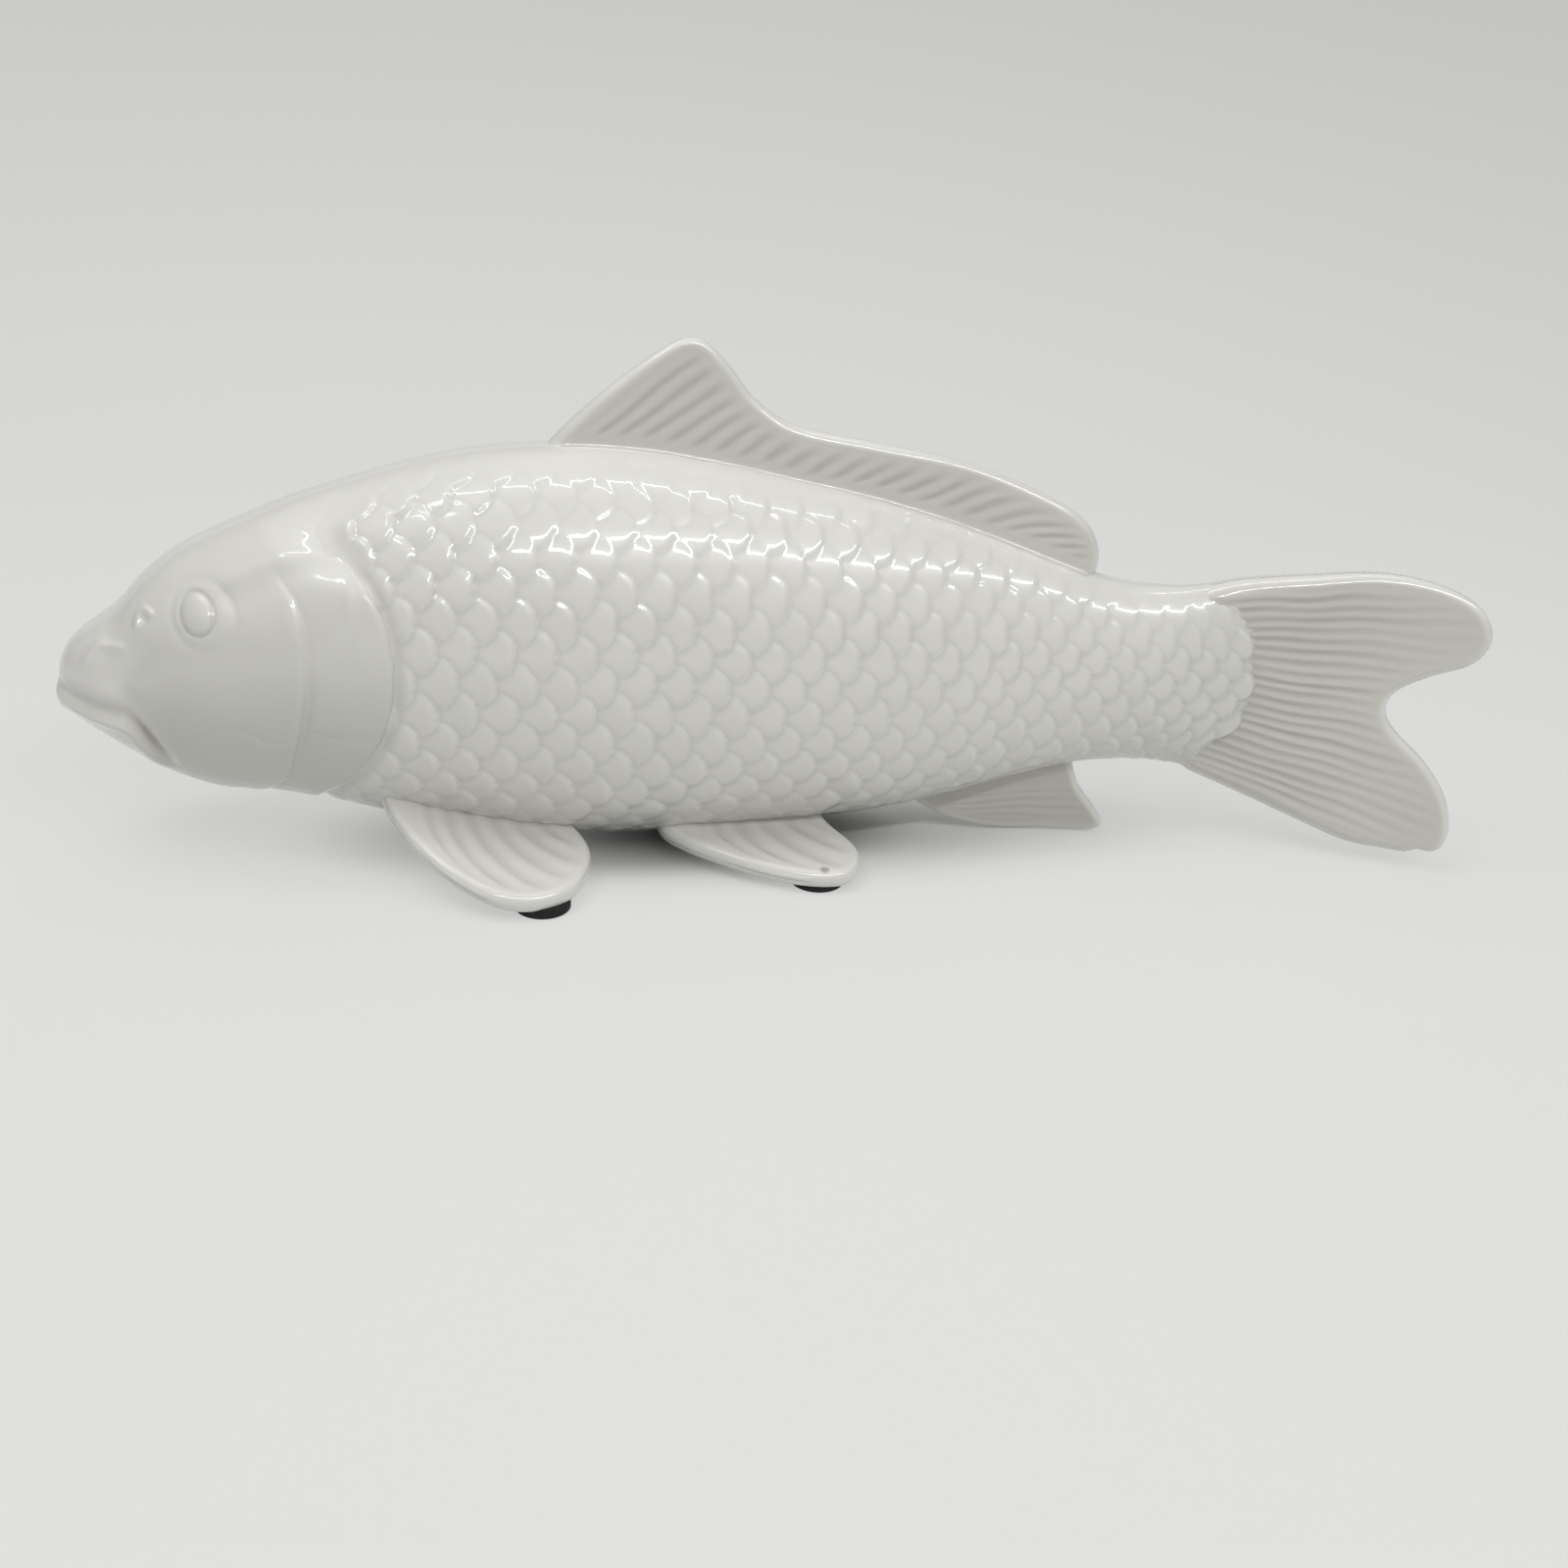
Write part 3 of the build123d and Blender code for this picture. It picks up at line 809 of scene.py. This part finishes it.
def glaze_relief(station, height):
    """Broad fold behind the snout and fine lines where the glaze has crept."""
    lift = -bead(from_fold(station, height)[0], *FOLD_DIP)
    for from_mark in from_marks:
        lift -= bead(from_mark(station, height)[0], *MARK_DIP)
    return lift


def eye_relief(station, height):
    """Oval eyeball in a soft socket."""
    ball = hypot((station - EYE_STATION) / EYE_HALF_LENGTH, (height - EYE_HEIGHT) / EYE_HALF_HEIGHT)
    socket = hypot(station - SOCKET_STATION, height - SOCKET_HEIGHT) / SOCKET_RADIUS
    lift = SOCKET_RISE * (1 - ease(socket, *SOCKET_SLOPE)) - bead(socket - SOCKET_RIM, *SOCKET_DIP)
    lift -= bead(ball - EYE_RIM, *EYE_DIP)
    if ball < 1.0:
        lift += EYE_BULGE * sqrt(1 - ball**2)
    return lift


def nostril_relief(station, height):
    """Curled rim round a small pit."""
    curl = bead(from_curl(station, height)[0], *CURL_RISE)
    pit = bead(hypot(station - NOSTRIL_PIT[0], height - NOSTRIL_PIT[1]), *PIT_DIP)
    return curl - pit


def plate_relief(station, height):
    """Step at the cheek's rear edge, the ridge behind it and the line over the temple."""
    behind = station - cheek_edge(height)[0]
    shown = 1 - ease(height, *CHEEK_FADE)
    lift = -CHEEK_STEP * ease(behind, 0.0, PLATE_ROUND)
    lift += bead(behind + CHEEK_LIP_BACK, *CHEEK_LIP) - bead(behind - PLATE_ROUND, *CHEEK_FOOT)
    lift *= shown
    distance, share = from_ridge(station, height)[:2]
    lift += bead(distance, *RIDGE_RISE) * (1 - ease(share, *RIDGE_FADE))
    distance, share, side = from_temple(station, height)
    lift += bead(distance, *TEMPLE_RISE) * ease(share, *TEMPLE_START)
    if side < 0:
        lift -= bead(distance - TEMPLE_DIP_ASIDE, *TEMPLE_DIP) * ease(share, *TEMPLE_START)
    return lift


def head_mesh():
    """Head and gill plates, closed behind the gill edge and merged into the trunk at the nape."""
    bm = bmesh.new()
    pool_and_shade = bm.verts.layers.float.new("pool_and_shade")
    stain = bm.verts.layers.float.new("stain")
    bmesh.ops.create_grid(bm, x_segments=HEAD_ROWS, y_segments=HEAD_COLUMNS, size=0.5)
    for vert in bm.verts:
        ring = round((vert.co.x + 0.5) * HEAD_ROWS)
        turn = tau * (vert.co.y + 0.5)
        hand = -1 if turn < pi else 1
        angle = turn if turn < pi else tau - turn
        run = min(ring / (HEAD_ROWS - 2), 1.0)
        run = (1 - HEAD_CROWDING) * run + HEAD_CROWDING * run * run
        station = run * GILL_REAR
        # The gill edge depends on the height, so the station settles in a few passes
        for step in range(3):
            height = section_point(head_lines, station, angle)[1]
            station = run * gill_edge(height)[0]
        if ring in (0, HEAD_ROWS):
            vert.co = set_out(ring / HEAD_ROWS * HEAD_CLOSE_STATION, 0.0, level(HEAD_CLOSE_LEVEL)) * MM
            continue
        sideways = sin(angle)
        shown = ease(sideways, *FACE_SIDE)
        lift = plate_relief(station, height) * sideways + mouth_relief(station, height)
        lift += (eye_relief(station, height) + nostril_relief(station, height)) * shown
        lift += (crease_relief(station, height) + glaze_relief(station, height)) * shown
        to_edge = gill_edge(height)[0] - station
        nape = ease(height, *NAPE_HEIGHTS)
        if to_edge < PLATE_ROUND:
            lift -= (1 - nape) * (1.0 - sqrt(1 - (1 - to_edge / PLATE_ROUND) ** 2))
        if ring == HEAD_ROWS - 1:
            lift -= END_TUCK
        distance, share = from_mouth(station, height)[:2]
        corner = ease(share, *STAIN_START) * (1 - ease(share, *STAIN_FADE))
        vert[stain] = hump(distance, STAIN_SPREAD) * corner
        # Painted shade darkens the lower cheek, and pooled glaze with painted shade darkens the mouth line
        cheek = ease(station, *CHEEK_SHADE_STATIONS) * (1 - ease(height, *CHEEK_SHADE_HEIGHTS))
        vert[pool_and_shade] = max(bead(distance, MOUTH_POOL_AND_SHADE, MOUTH_GAP[0]), CHEEK_PAINTED_SHADE * cheek)
        aside, top = section_point(head_lines, station, angle, lift)
        if nape > 0 and ring < HEAD_ROWS - 1:
            merge = nape * (1 - ease(to_edge, 0.0, NAPE_BLEND))
            under_aside, under_top = section_point(trunk_lines, station, angle, -NAPE_SINK)
            aside = between(aside, under_aside, merge)
            top = between(top, under_top, merge)
        vert.co = set_out(station, hand * aside, top) * MM
    return bm


# Fins


def fin_mesh(outline, foot, half_at, groove_at, place, field, grid, bow=(0.0, 0.0)):
    """Closed blade over an outline, with its thickness, its ray grooves, and the deeper tone between its
    rays of pooled glaze and painted shade.
    """
    rim = smooth_path(outline)
    samples = sampled(rim, RIM_STEPS)
    rows, columns = grid
    bm = bmesh.new()
    pool_and_shade = bm.verts.layers.float.new("pool_and_shade")
    for face in (-1, 1):
        made = bmesh.ops.create_grid(bm, x_segments=rows, y_segments=columns, size=0.5)
        for vert in made["verts"]:
            along = vert.co.x + 0.5
            out = sin((vert.co.y + 0.5) * pi / 2)
            tip = rim(along)
            root = foot(along)
            swing = sin(pi * out) * sin(pi * along) ** 2
            u = between(root[0], tip[0], out) + bow[0] * swing
            v = between(root[1], tip[1], out) + bow[1] * swing
            from_rim = samples.find((u, v, 0.0))[2] if out < 1.0 else 0.0
            half = half_at(u, v)
            rounding = sqrt(1 - (1 - min(from_rim / half, 1.0)) ** 2)
            drift = Vector((u * RAY_WAVER_PACE[0], v * RAY_WAVER_PACE[1], 2.0))
            waver = RAY_WAVER * noise.noise(drift)
            groove = groove_at(along, u, v + waver) * ease(from_rim, *RAY_MARGIN)
            # Deeper tone between the rays and over the open field, pooled glaze and painted shade, fading
            # towards the rim
            vert[pool_and_shade] = between(field, 1.0, groove) * ease(from_rim, *FIELD_MARGIN)
            thickness = 0.0 if out == 0.0 else half * rounding - RAY_DEPTH * groove
            vert.co = place(u, v, face * thickness) * MM
    return bm


def upright(station, height, offset):
    """Place of a point on a blade that stands in the middle plane."""
    return set_out(station, offset, height)


def straight(first, last):
    return lambda share: (between(first[0], last[0], share), between(first[1], last[1], share))


def ray_groove(phase):
    """Soft grooves between rounded rays, one for each whole phase."""
    return abs(cos(pi * phase)) ** 3


def back_height(station):
    return trunk_lines(station)[0]


def dorsal_mesh():
    """Back fin on the curve of the back, with rays that lean further back towards the tail."""
    outline = []
    for share, rise in DORSAL_OUTLINE:
        station = DORSAL_FRONT + share * DORSAL_LENGTH
        outline.append((station, back_height(station) + rise * DORSAL_HEIGHT))

    def foot(share):
        station = between(outline[0][0], outline[-1][0], share)
        return station, back_height(station) - DORSAL_SEAT

    def half_at(station, height):
        back, belly, half_width = trunk_lines(station)
        half = between(*DORSAL_HALF, clamp((height - back) / DORSAL_HEIGHT))
        fall = (back - belly) / 2 * (1 - sqrt(1 - (half / half_width) ** 2))
        return half + FOOT_FILLET * exp(-max((height - back + fall) / FOOT_FILLET, -1.0))

    def groove_at(_, station, height):
        # The foot of the ray through this point settles in a few passes
        foot_at = station
        for step in range(5):
            rise = between(*DORSAL_RISE, clamp((foot_at - DORSAL_FRONT) / DORSAL_LENGTH))
            foot_at = station - (height - back_height(foot_at)) / rise
        shown = ease(height - back_height(station), *DORSAL_RAY_FOOT)
        return ray_groove((foot_at - DORSAL_FRONT) / DORSAL_LENGTH * DORSAL_RAYS) * shown

    return fin_mesh(outline, foot, half_at, groove_at, upright, DORSAL_FIELD, DORSAL_GRID)


def tail_mesh():
    """Forked tail, with rays that spread from its root and fade towards its rim."""
    outline = []
    for share, rise in TAIL_OUTLINE:
        outline.append((TAIL_ROOT + share * TAIL_LENGTH, TAIL_CLEARANCE + rise * TAIL_SPAN))
    top = (TAIL_ROOT + TAIL_SEAT_TOP[0], outline[0][1] + TAIL_SEAT_TOP[1])
    bottom = (TAIL_ROOT + TAIL_SEAT_BOTTOM[0], outline[-1][1] + TAIL_SEAT_BOTTOM[1])

    def half_at(station, height):
        return between(*TAIL_HALF, clamp((station - TAIL_ROOT) / TAIL_LENGTH))

    def groove_at(_, station, height):
        out = clamp((station - TAIL_ROOT) / TAIL_LENGTH)
        low = TAIL_CLEARANCE + between(*TAIL_RAY_LOW, out) * TAIL_SPAN
        high = TAIL_CLEARANCE + between(*TAIL_RAY_HIGH, out) * TAIL_SPAN
        phase = (height - low) / (high - low) * TAIL_RAYS
        drift = Vector((phase * TAIL_RAY_PACE[0], out * TAIL_RAY_PACE[1], 7.0))
        shown = TAIL_RAY_STRENGTH + TAIL_RAY_CHANGE * noise.noise(drift)
        return ray_groove(phase) * shown * (1 - TAIL_RAY_LOSS * ease(out, *TAIL_RAY_FADE))

    return fin_mesh(outline, straight(top, bottom), half_at, groove_at, upright, TAIL_FIELD, TAIL_GRID)


def anal_mesh():
    """Low fin behind the belly, which rests on the table."""
    outline = [(ANAL_FRONT + share * ANAL_LENGTH, rise * ANAL_HEIGHT) for share, rise in ANAL_OUTLINE]
    front = (outline[0][0] + ANAL_SEAT_FRONT[0], outline[0][1] + ANAL_SEAT_FRONT[1])
    rear = (outline[-1][0] + ANAL_SEAT_REAR[0], outline[-1][1] + ANAL_SEAT_REAR[1])

    def half_at(station, height):
        return between(*ANAL_HALF, clamp(height / ANAL_HEIGHT))

    def groove_at(_, station, height):
        share = (station - ANAL_FRONT) / ANAL_LENGTH
        low = between(*ANAL_RAY_LOW, share)
        high = between(*ANAL_RAY_HIGH, share)
        return ray_groove((height / ANAL_HEIGHT - low) / (high - low) * ANAL_RAYS)

    return fin_mesh(outline, straight(front, rear), half_at, groove_at, upright, ANAL_FIELD, ANAL_GRID)


def body_breadth(station, height):
    """Half breadth of the trunk at a height."""
    back, belly, half_width = trunk_lines(station)
    rise = (2 * height - back - belly) / (back - belly)
    return half_width * sqrt(max(1 - rise**2, 0.0))


def paired_mesh(hand, lines, front, length, reach, thickness, root_fall, edge_fall, droop, rays):
    """A spread fin on one side; hand is -1 on the fish's left."""
    outline = [(share * length, across * reach) for share, across in lines]

    def underside(share, across):
        root = droop + root_fall * max(1 - share, 0.0) ** PAIRED_FALL_CURVE
        edge = edge_fall * max(0.0, 1 - share / PAIRED_EDGE_REST) ** PAIRED_FALL_CURVE
        return PAD_THICKNESS - FOOT_SINK + between(root, edge, across)

    def place(along, aside, offset):
        fullness = 1 if offset > 0 else PAIRED_UNDERSIDE
        height = underside(along / length, aside / reach) + thickness / 2 + offset * fullness
        if offset > 0:
            from_body = max(aside - body_breadth(front + along, height), 0.0)
            height += ROOT_FILLET * exp(-from_body / ROOT_FILLET)
        return set_out(front + along, hand * aside, max(height, PAD_THICKNESS - PAD_HIDDEN))

    def half_at(along, aside):
        return thickness / 2

    def groove_at(share, _, aside):
        shown = ease(share, *PAIRED_RAY_START) * ease(aside / reach, *PAIRED_RAY_ROOT)
        return ray_groove((share - PAIRED_RAY_FIRST) / PAIRED_RAY_SPAN * rays) * shown

    def foot(share):
        first = outline[0][0] + PAIRED_SEAT_INSET
        last = outline[-1][0] - PAIRED_SEAT_INSET
        return between(first, last, ease(share, *PAIRED_SEAT_SPREAD)), outline[0][1] - PAIRED_SEAT_DEPTH

    bow = (-PAIRED_BOW * length, PAIRED_BOW * reach)
    return fin_mesh(outline, foot, half_at, groove_at, place, PAIRED_FIELD, PAIRED_GRID, bow)


# Feet


def pad_mesh(node):
    """Soft disc with a rounded rim, where the node is."""
    low, high = (Vector(corner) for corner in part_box(node))
    bm = bmesh.new()
    middle = Matrix.Translation(((low.x + high.x) / 2, (low.y + high.y) / 2, low.z))
    radius = PAD_DIAMETER / 2 * MM
    bmesh.ops.create_circle(bm, cap_ends=True, segments=PAD_SIDES, radius=radius, matrix=middle)
    rise = bmesh.ops.extrude_face_region(bm, geom=bm.faces[:])
    lifted = [part for part in rise["geom"] if isinstance(part, bmesh.types.BMVert)]
    bmesh.ops.translate(bm, verts=lifted, vec=(0, 0, high.z - low.z))
    rims = [edge for edge in bm.edges if abs(edge.verts[0].co.z - edge.verts[1].co.z) < WELD]
    bmesh.ops.bevel(
        bm,
        geom=rims,
        offset=PAD_ROUND * MM,
        affect="EDGES",
        segments=4,
        profile=0.5,
        material=-1,
        clamp_overlap=True,
    )
    return bm


# Materials


class Shade:
    """A shader socket: operators add Math nodes, and add() puts in any other node."""

    def __init__(self, tree, socket=None):
        self.tree = tree
        self.socket = socket

    def add(self, kind, settings, inputs, output=0):
        node = self.tree.nodes.new(kind)
        for key, value in settings.items():
            setattr(node, key, value)
        for key, value in inputs.items():
            if isinstance(value, Shade):
                self.tree.links.new(value.socket, node.inputs[key])
            else:
                node.inputs[key].default_value = value
        return Shade(self.tree, node.outputs[output])

    def into(self, socket):
        self.tree.links.new(self.socket, socket)

    def math(self, operation, first, second):
        return self.add("ShaderNodeMath", {"operation": operation}, {0: first, 1: second})

    def __add__(self, other):
        return self.math("ADD", self, other)

    __radd__ = __add__

    def __mul__(self, other):
        return self.math("MULTIPLY", self, other)

    __rmul__ = __mul__


def new_material(name):
    material = bpy.data.materials.new(name)
    material.use_nodes = True
    tree = material.node_tree
    return material, Shade(tree), tree.nodes["Principled BSDF"]


def colour_mix(shade, factor, first, second):
    return shade.add("ShaderNodeMix", {"data_type": "RGBA"}, {0: factor, 6: first, 7: second}, 2)


def glaze(name, pool_and_shade_tone, pool_and_shade_share):
    """Glossy white glaze, a little deeper in colour where it pools between scales and rays, and where the
    meshes carry painted shade.
    """
    material, shade, surface = new_material(name)
    place = shade.add("ShaderNodeTexCoord", {}, {}, "Object")
    pool_and_shade = shade.add("ShaderNodeAttribute", {"attribute_name": "pool_and_shade"}, {}, 2)
    stain = shade.add("ShaderNodeAttribute", {"attribute_name": "stain"}, {}, 2)
    cloud = shade.add("ShaderNodeTexNoise", {}, {"Vector": place, "Scale": 30.0, "Detail": 3.0})
    peel = shade.add("ShaderNodeTexNoise", {}, {"Vector": place, "Scale": 420.0, "Detail": 1.0})
    # Deeper tone from the mesh attribute: pooled glaze and painted shade
    tone = colour_mix(shade, pool_and_shade * pool_and_shade_share + cloud * GLAZE_CLOUD, GLAZE_THIN, pool_and_shade_tone)
    tone = colour_mix(shade, stain * STAIN_STRENGTH, tone, STAIN_TONE)
    for station, aside, height, radius in SPECKS:
        spot = Vector((station - MIDDLE, aside, height)) * MM
        away = shade.add("ShaderNodeVectorMath", {"operation": "DISTANCE"}, {0: place, 1: spot}, 1)
        dark = shade.add("ShaderNodeMapRange", {}, {0: away, 1: radius * MM, 2: radius * MM / 2})
        tone = colour_mix(shade, dark * SPECK_STRENGTH, tone, SPECK_TONE)
    bump = shade.add("ShaderNodeBump", {}, {"Strength": 0.04, "Distance": 0.0003, "Height": peel})
    tone.into(surface.inputs["Base Color"])
    (GLAZE_ROUGHNESS + GLAZE_ROUGHNESS_CHANGE * cloud).into(surface.inputs["Roughness"])
    bump.into(surface.inputs["Normal"])
    surface.inputs["Coat Weight"].default_value = 1.0
    surface.inputs["Coat Roughness"].default_value = GLAZE_COAT_ROUGHNESS
    return material


def soft_foot(name):
    """Black rubber with a dusty face."""
    material, shade, surface = new_material(name)
    place = shade.add("ShaderNodeTexCoord", {}, {}, "Object")
    grain = shade.add("ShaderNodeTexNoise", {}, {"Vector": place, "Scale": 900.0, "Detail": 2.0})
    tone = colour_mix(shade, grain, RUBBER_BLACK, RUBBER_DUST)
    bump = shade.add("ShaderNodeBump", {}, {"Strength": 0.3, "Distance": 0.0002, "Height": grain})
    tone.into(surface.inputs["Base Color"])
    (RUBBER_ROUGHNESS + RUBBER_ROUGHNESS_CHANGE * grain).into(surface.inputs["Roughness"])
    bump.into(surface.inputs["Normal"])
    surface.inputs["Specular IOR Level"].default_value = RUBBER_SHINE
    return material


body_glaze = glaze("body_glaze", BODY_GLAZE_POOL_AND_SHADE, BODY_POOL_AND_SHADE_SHARE)
fin_glaze = glaze("fin_glaze", FIN_GLAZE_POOL_AND_SHADE, FIN_POOL_AND_SHADE_SHARE)
foot_rubber = soft_foot("foot_rubber")

# Pieces

new_piece("carp_head", head_mesh(), body_glaze, "body_shell")
for word, hand in SIDES:
    new_piece(f"carp_flank_{word}", trunk_mesh(hand), body_glaze, "body_shell")
new_piece("dorsal_blade", dorsal_mesh(), fin_glaze, "dorsal_fin")
new_piece("tail_blade", tail_mesh(), fin_glaze, "tail_fin")
new_piece("anal_blade", anal_mesh(), fin_glaze, "anal_fin")
for word, hand in SIDES:
    pectoral = paired_mesh(hand, PECTORAL_OUTLINE, **PECTORAL)
    new_piece(f"pectoral_blade_{word}", pectoral, body_glaze, f"pectoral_fin_{word}")
    pelvic = paired_mesh(hand, PELVIC_OUTLINE, **PELVIC)
    new_piece(f"pelvic_blade_{word}", pelvic, body_glaze, f"pelvic_fin_{word}")
    for fin in ("pectoral", "pelvic"):
        node = f"{fin}_pad_{word}"
        new_piece(f"{fin}_foot_{word}", pad_mesh(node), foot_rubber, node)

# Floor and backdrop in one sweep

FLOOR_HALF = 1.2
SWEEP_START = 0.35
SWEEP_RADIUS = 0.5
PAPER_LOW = (0.66, 0.66, 0.65, 1)
# Painted shade: the paper darkens up the sweep towards this tone
PAPER_SHADED_TOP = (0.18, 0.18, 0.175, 1)
PAPER_SHADE_FALL = 4.0
PAPER_GLOW = (0.785, 0.785, 0.77, 1)
PAPER_GLOW_SHARE = 0.65
PAPER_ROUGHNESS = 0.6
# Painted shadow: the paper is darker in an oval close under the fish
PAPER_PAINTED_SHADOW = (0.12, 0.12, 0.115, 1)
SHADOW_STRETCH = (0.3, 1.0, 0.0)
SHADOW_SHIFT = (0.0, 0.0, 0.0)
SHADOW_EDGE = (0.006, 0.034)
PAINTED_SHADOW_STRETCH = (0.35, 1.0, 0.0)
PAINTED_SHADOW_SHIFT = (0.014, 0.0, 0.0)
PAINTED_SHADOW_EDGE = (0.014, 0.027)
ROOM_LIGHT = 0.25


def sweep_mesh():
    """Flat floor that curves up into the backdrop."""
    bm = bmesh.new()
    bmesh.ops.create_grid(bm, x_segments=40, y_segments=120, size=FLOOR_HALF)
    for vert in bm.verts:
        past = vert.co.y - SWEEP_START
        if past > 0:
            turn = min(past / SWEEP_RADIUS, pi / 2)
            rest = max(past - SWEEP_RADIUS * pi / 2, 0.0)
            vert.co.y = SWEEP_START + SWEEP_RADIUS * sin(turn)
            vert.co.z = SWEEP_RADIUS * (1 - cos(turn)) + rest
    return bm


def open_paper(shade, place, stretch, shift, edge):
    """Mask that is 0 in an oval under the fish and 1 outside it."""
    spread = {0: place, 1: stretch, 2: shift}
    spread = shade.add("ShaderNodeVectorMath", {"operation": "MULTIPLY_ADD"}, spread)
    away = shade.add("ShaderNodeVectorMath", {"operation": "LENGTH"}, {0: spread}, 1)
    step = {"interpolation_type": "SMOOTHSTEP"}
    return shade.add("ShaderNodeMapRange", step, {0: away, 1: edge[0], 2: edge[1]})


def sweep_paper(name):
    """Pale paper, with painted shade darker up the sweep and a painted shadow close under the fish, and
    bright as the background.
    """
    material, shade, surface = new_material(name)
    place = shade.add("ShaderNodeTexCoord", {}, {}, "Object")
    rise = shade.add("ShaderNodeSeparateXYZ", {}, {0: place}, "Z")
    clear = open_paper(shade, place, SHADOW_STRETCH, SHADOW_SHIFT, SHADOW_EDGE)
    # Painted shadow in the paper's colour close under the fish
    beside = open_paper(shade, place, PAINTED_SHADOW_STRETCH, PAINTED_SHADOW_SHIFT, PAINTED_SHADOW_EDGE)
    tone = colour_mix(shade, beside, PAPER_PAINTED_SHADOW, PAPER_LOW)
    # Painted shade darkening the paper up the sweep
    tone = colour_mix(shade, rise * PAPER_SHADE_FALL, tone, PAPER_SHADED_TOP)
    tone.into(surface.inputs["Base Color"])
    surface.inputs["Roughness"].default_value = PAPER_ROUGHNESS
    seen = shade.add("ShaderNodeLightPath", {}, {}, "Is Camera Ray")
    seen += shade.add("ShaderNodeLightPath", {}, {}, "Is Glossy Ray")
    seen *= clear * PAPER_GLOW_SHARE
    glow = shade.add("ShaderNodeEmission", {}, {"Color": PAPER_GLOW})
    lit = Shade(material.node_tree, surface.outputs[0])
    look = shade.add("ShaderNodeMixShader", {}, {0: seen, 1: lit, 2: glow})
    look.into(material.node_tree.nodes["Material Output"].inputs["Surface"])
    return material


sweep = smooth_object("sweep", sweep_mesh(), sweep_paper("paper"))

# Light


def lamp(name, place, target, width, depth, power, mirrored=True):
    """Flat lamp turned to a target; one that isn't mirrored lights the glaze without showing in it."""
    light = bpy.data.lights.new(name, "AREA")
    light.shape = "RECTANGLE"
    light.size = width
    light.size_y = depth
    light.energy = power
    holder = bpy.data.objects.new(name, light)
    holder.location = place
    holder.visible_glossy = mirrored
    holder.rotation_euler = (Vector(target) - Vector(place)).to_track_quat("-Z", "Y").to_euler()
    bpy.context.collection.objects.link(holder)


lamp("strip_front", (0.25, -0.58, 0.68), (0.05, 0.0, 0.05), width=1.0, depth=0.032, power=2.9)
lamp("strip_top", (-0.03, -0.02, 0.6), (-0.03, -0.02, 0.0), width=0.6, depth=0.016, power=0.35)
lamp("canopy", (-0.12, 0.0, 0.85), (-0.05, 0.0, 0.0), width=1.3, depth=1.2, power=1.25)
lamp("head_light", (-0.4, -0.1, 0.86), (-0.08, 0.0, 0.05), width=0.5, depth=0.5, power=2.1, mirrored=False)
lamp("window", (-0.5, -0.25, 0.85), (-0.05, 0.0, 0.05), width=0.2, depth=0.12, power=0.4)
lamp("back_fill", (0.0, 0.5, 0.7), (0.0, 0.0, 0.05), width=0.6, depth=0.4, power=0.6, mirrored=False)
lamp("side_fill", (0.4, -0.85, 0.5), (0.0, 0.0, 0.05), width=0.6, depth=0.6, power=1.35, mirrored=False)

world = bpy.data.worlds.new("soft_room")
world.use_nodes = True
background = world.node_tree.nodes["Background"]
background.inputs["Color"].default_value = (1, 1, 1, 1)
background.inputs["Strength"].default_value = ROOM_LIGHT
bpy.context.scene.world = world

# Camera

view = bpy.data.cameras.new("camera")
view.sensor_width = SENSOR
view.lens = SENSOR * FOCAL_PIXELS / IMAGE_SIDE
view.clip_start = 0.01
camera = bpy.data.objects.new("camera", view)
camera.location = Vector((CAMERA_STATION - MIDDLE, CAMERA_ASIDE, CAMERA_HEIGHT)) * MM
facing = Euler((radians(90 - CAMERA_PITCH), 0, radians(-CAMERA_YAW))).to_matrix()
camera.rotation_euler = (facing @ Matrix.Rotation(radians(CAMERA_ROLL), 3, "Z")).to_euler()
bpy.context.collection.objects.link(camera)
bpy.context.scene.camera = camera
bpy.context.scene.view_settings.view_transform = "Standard"
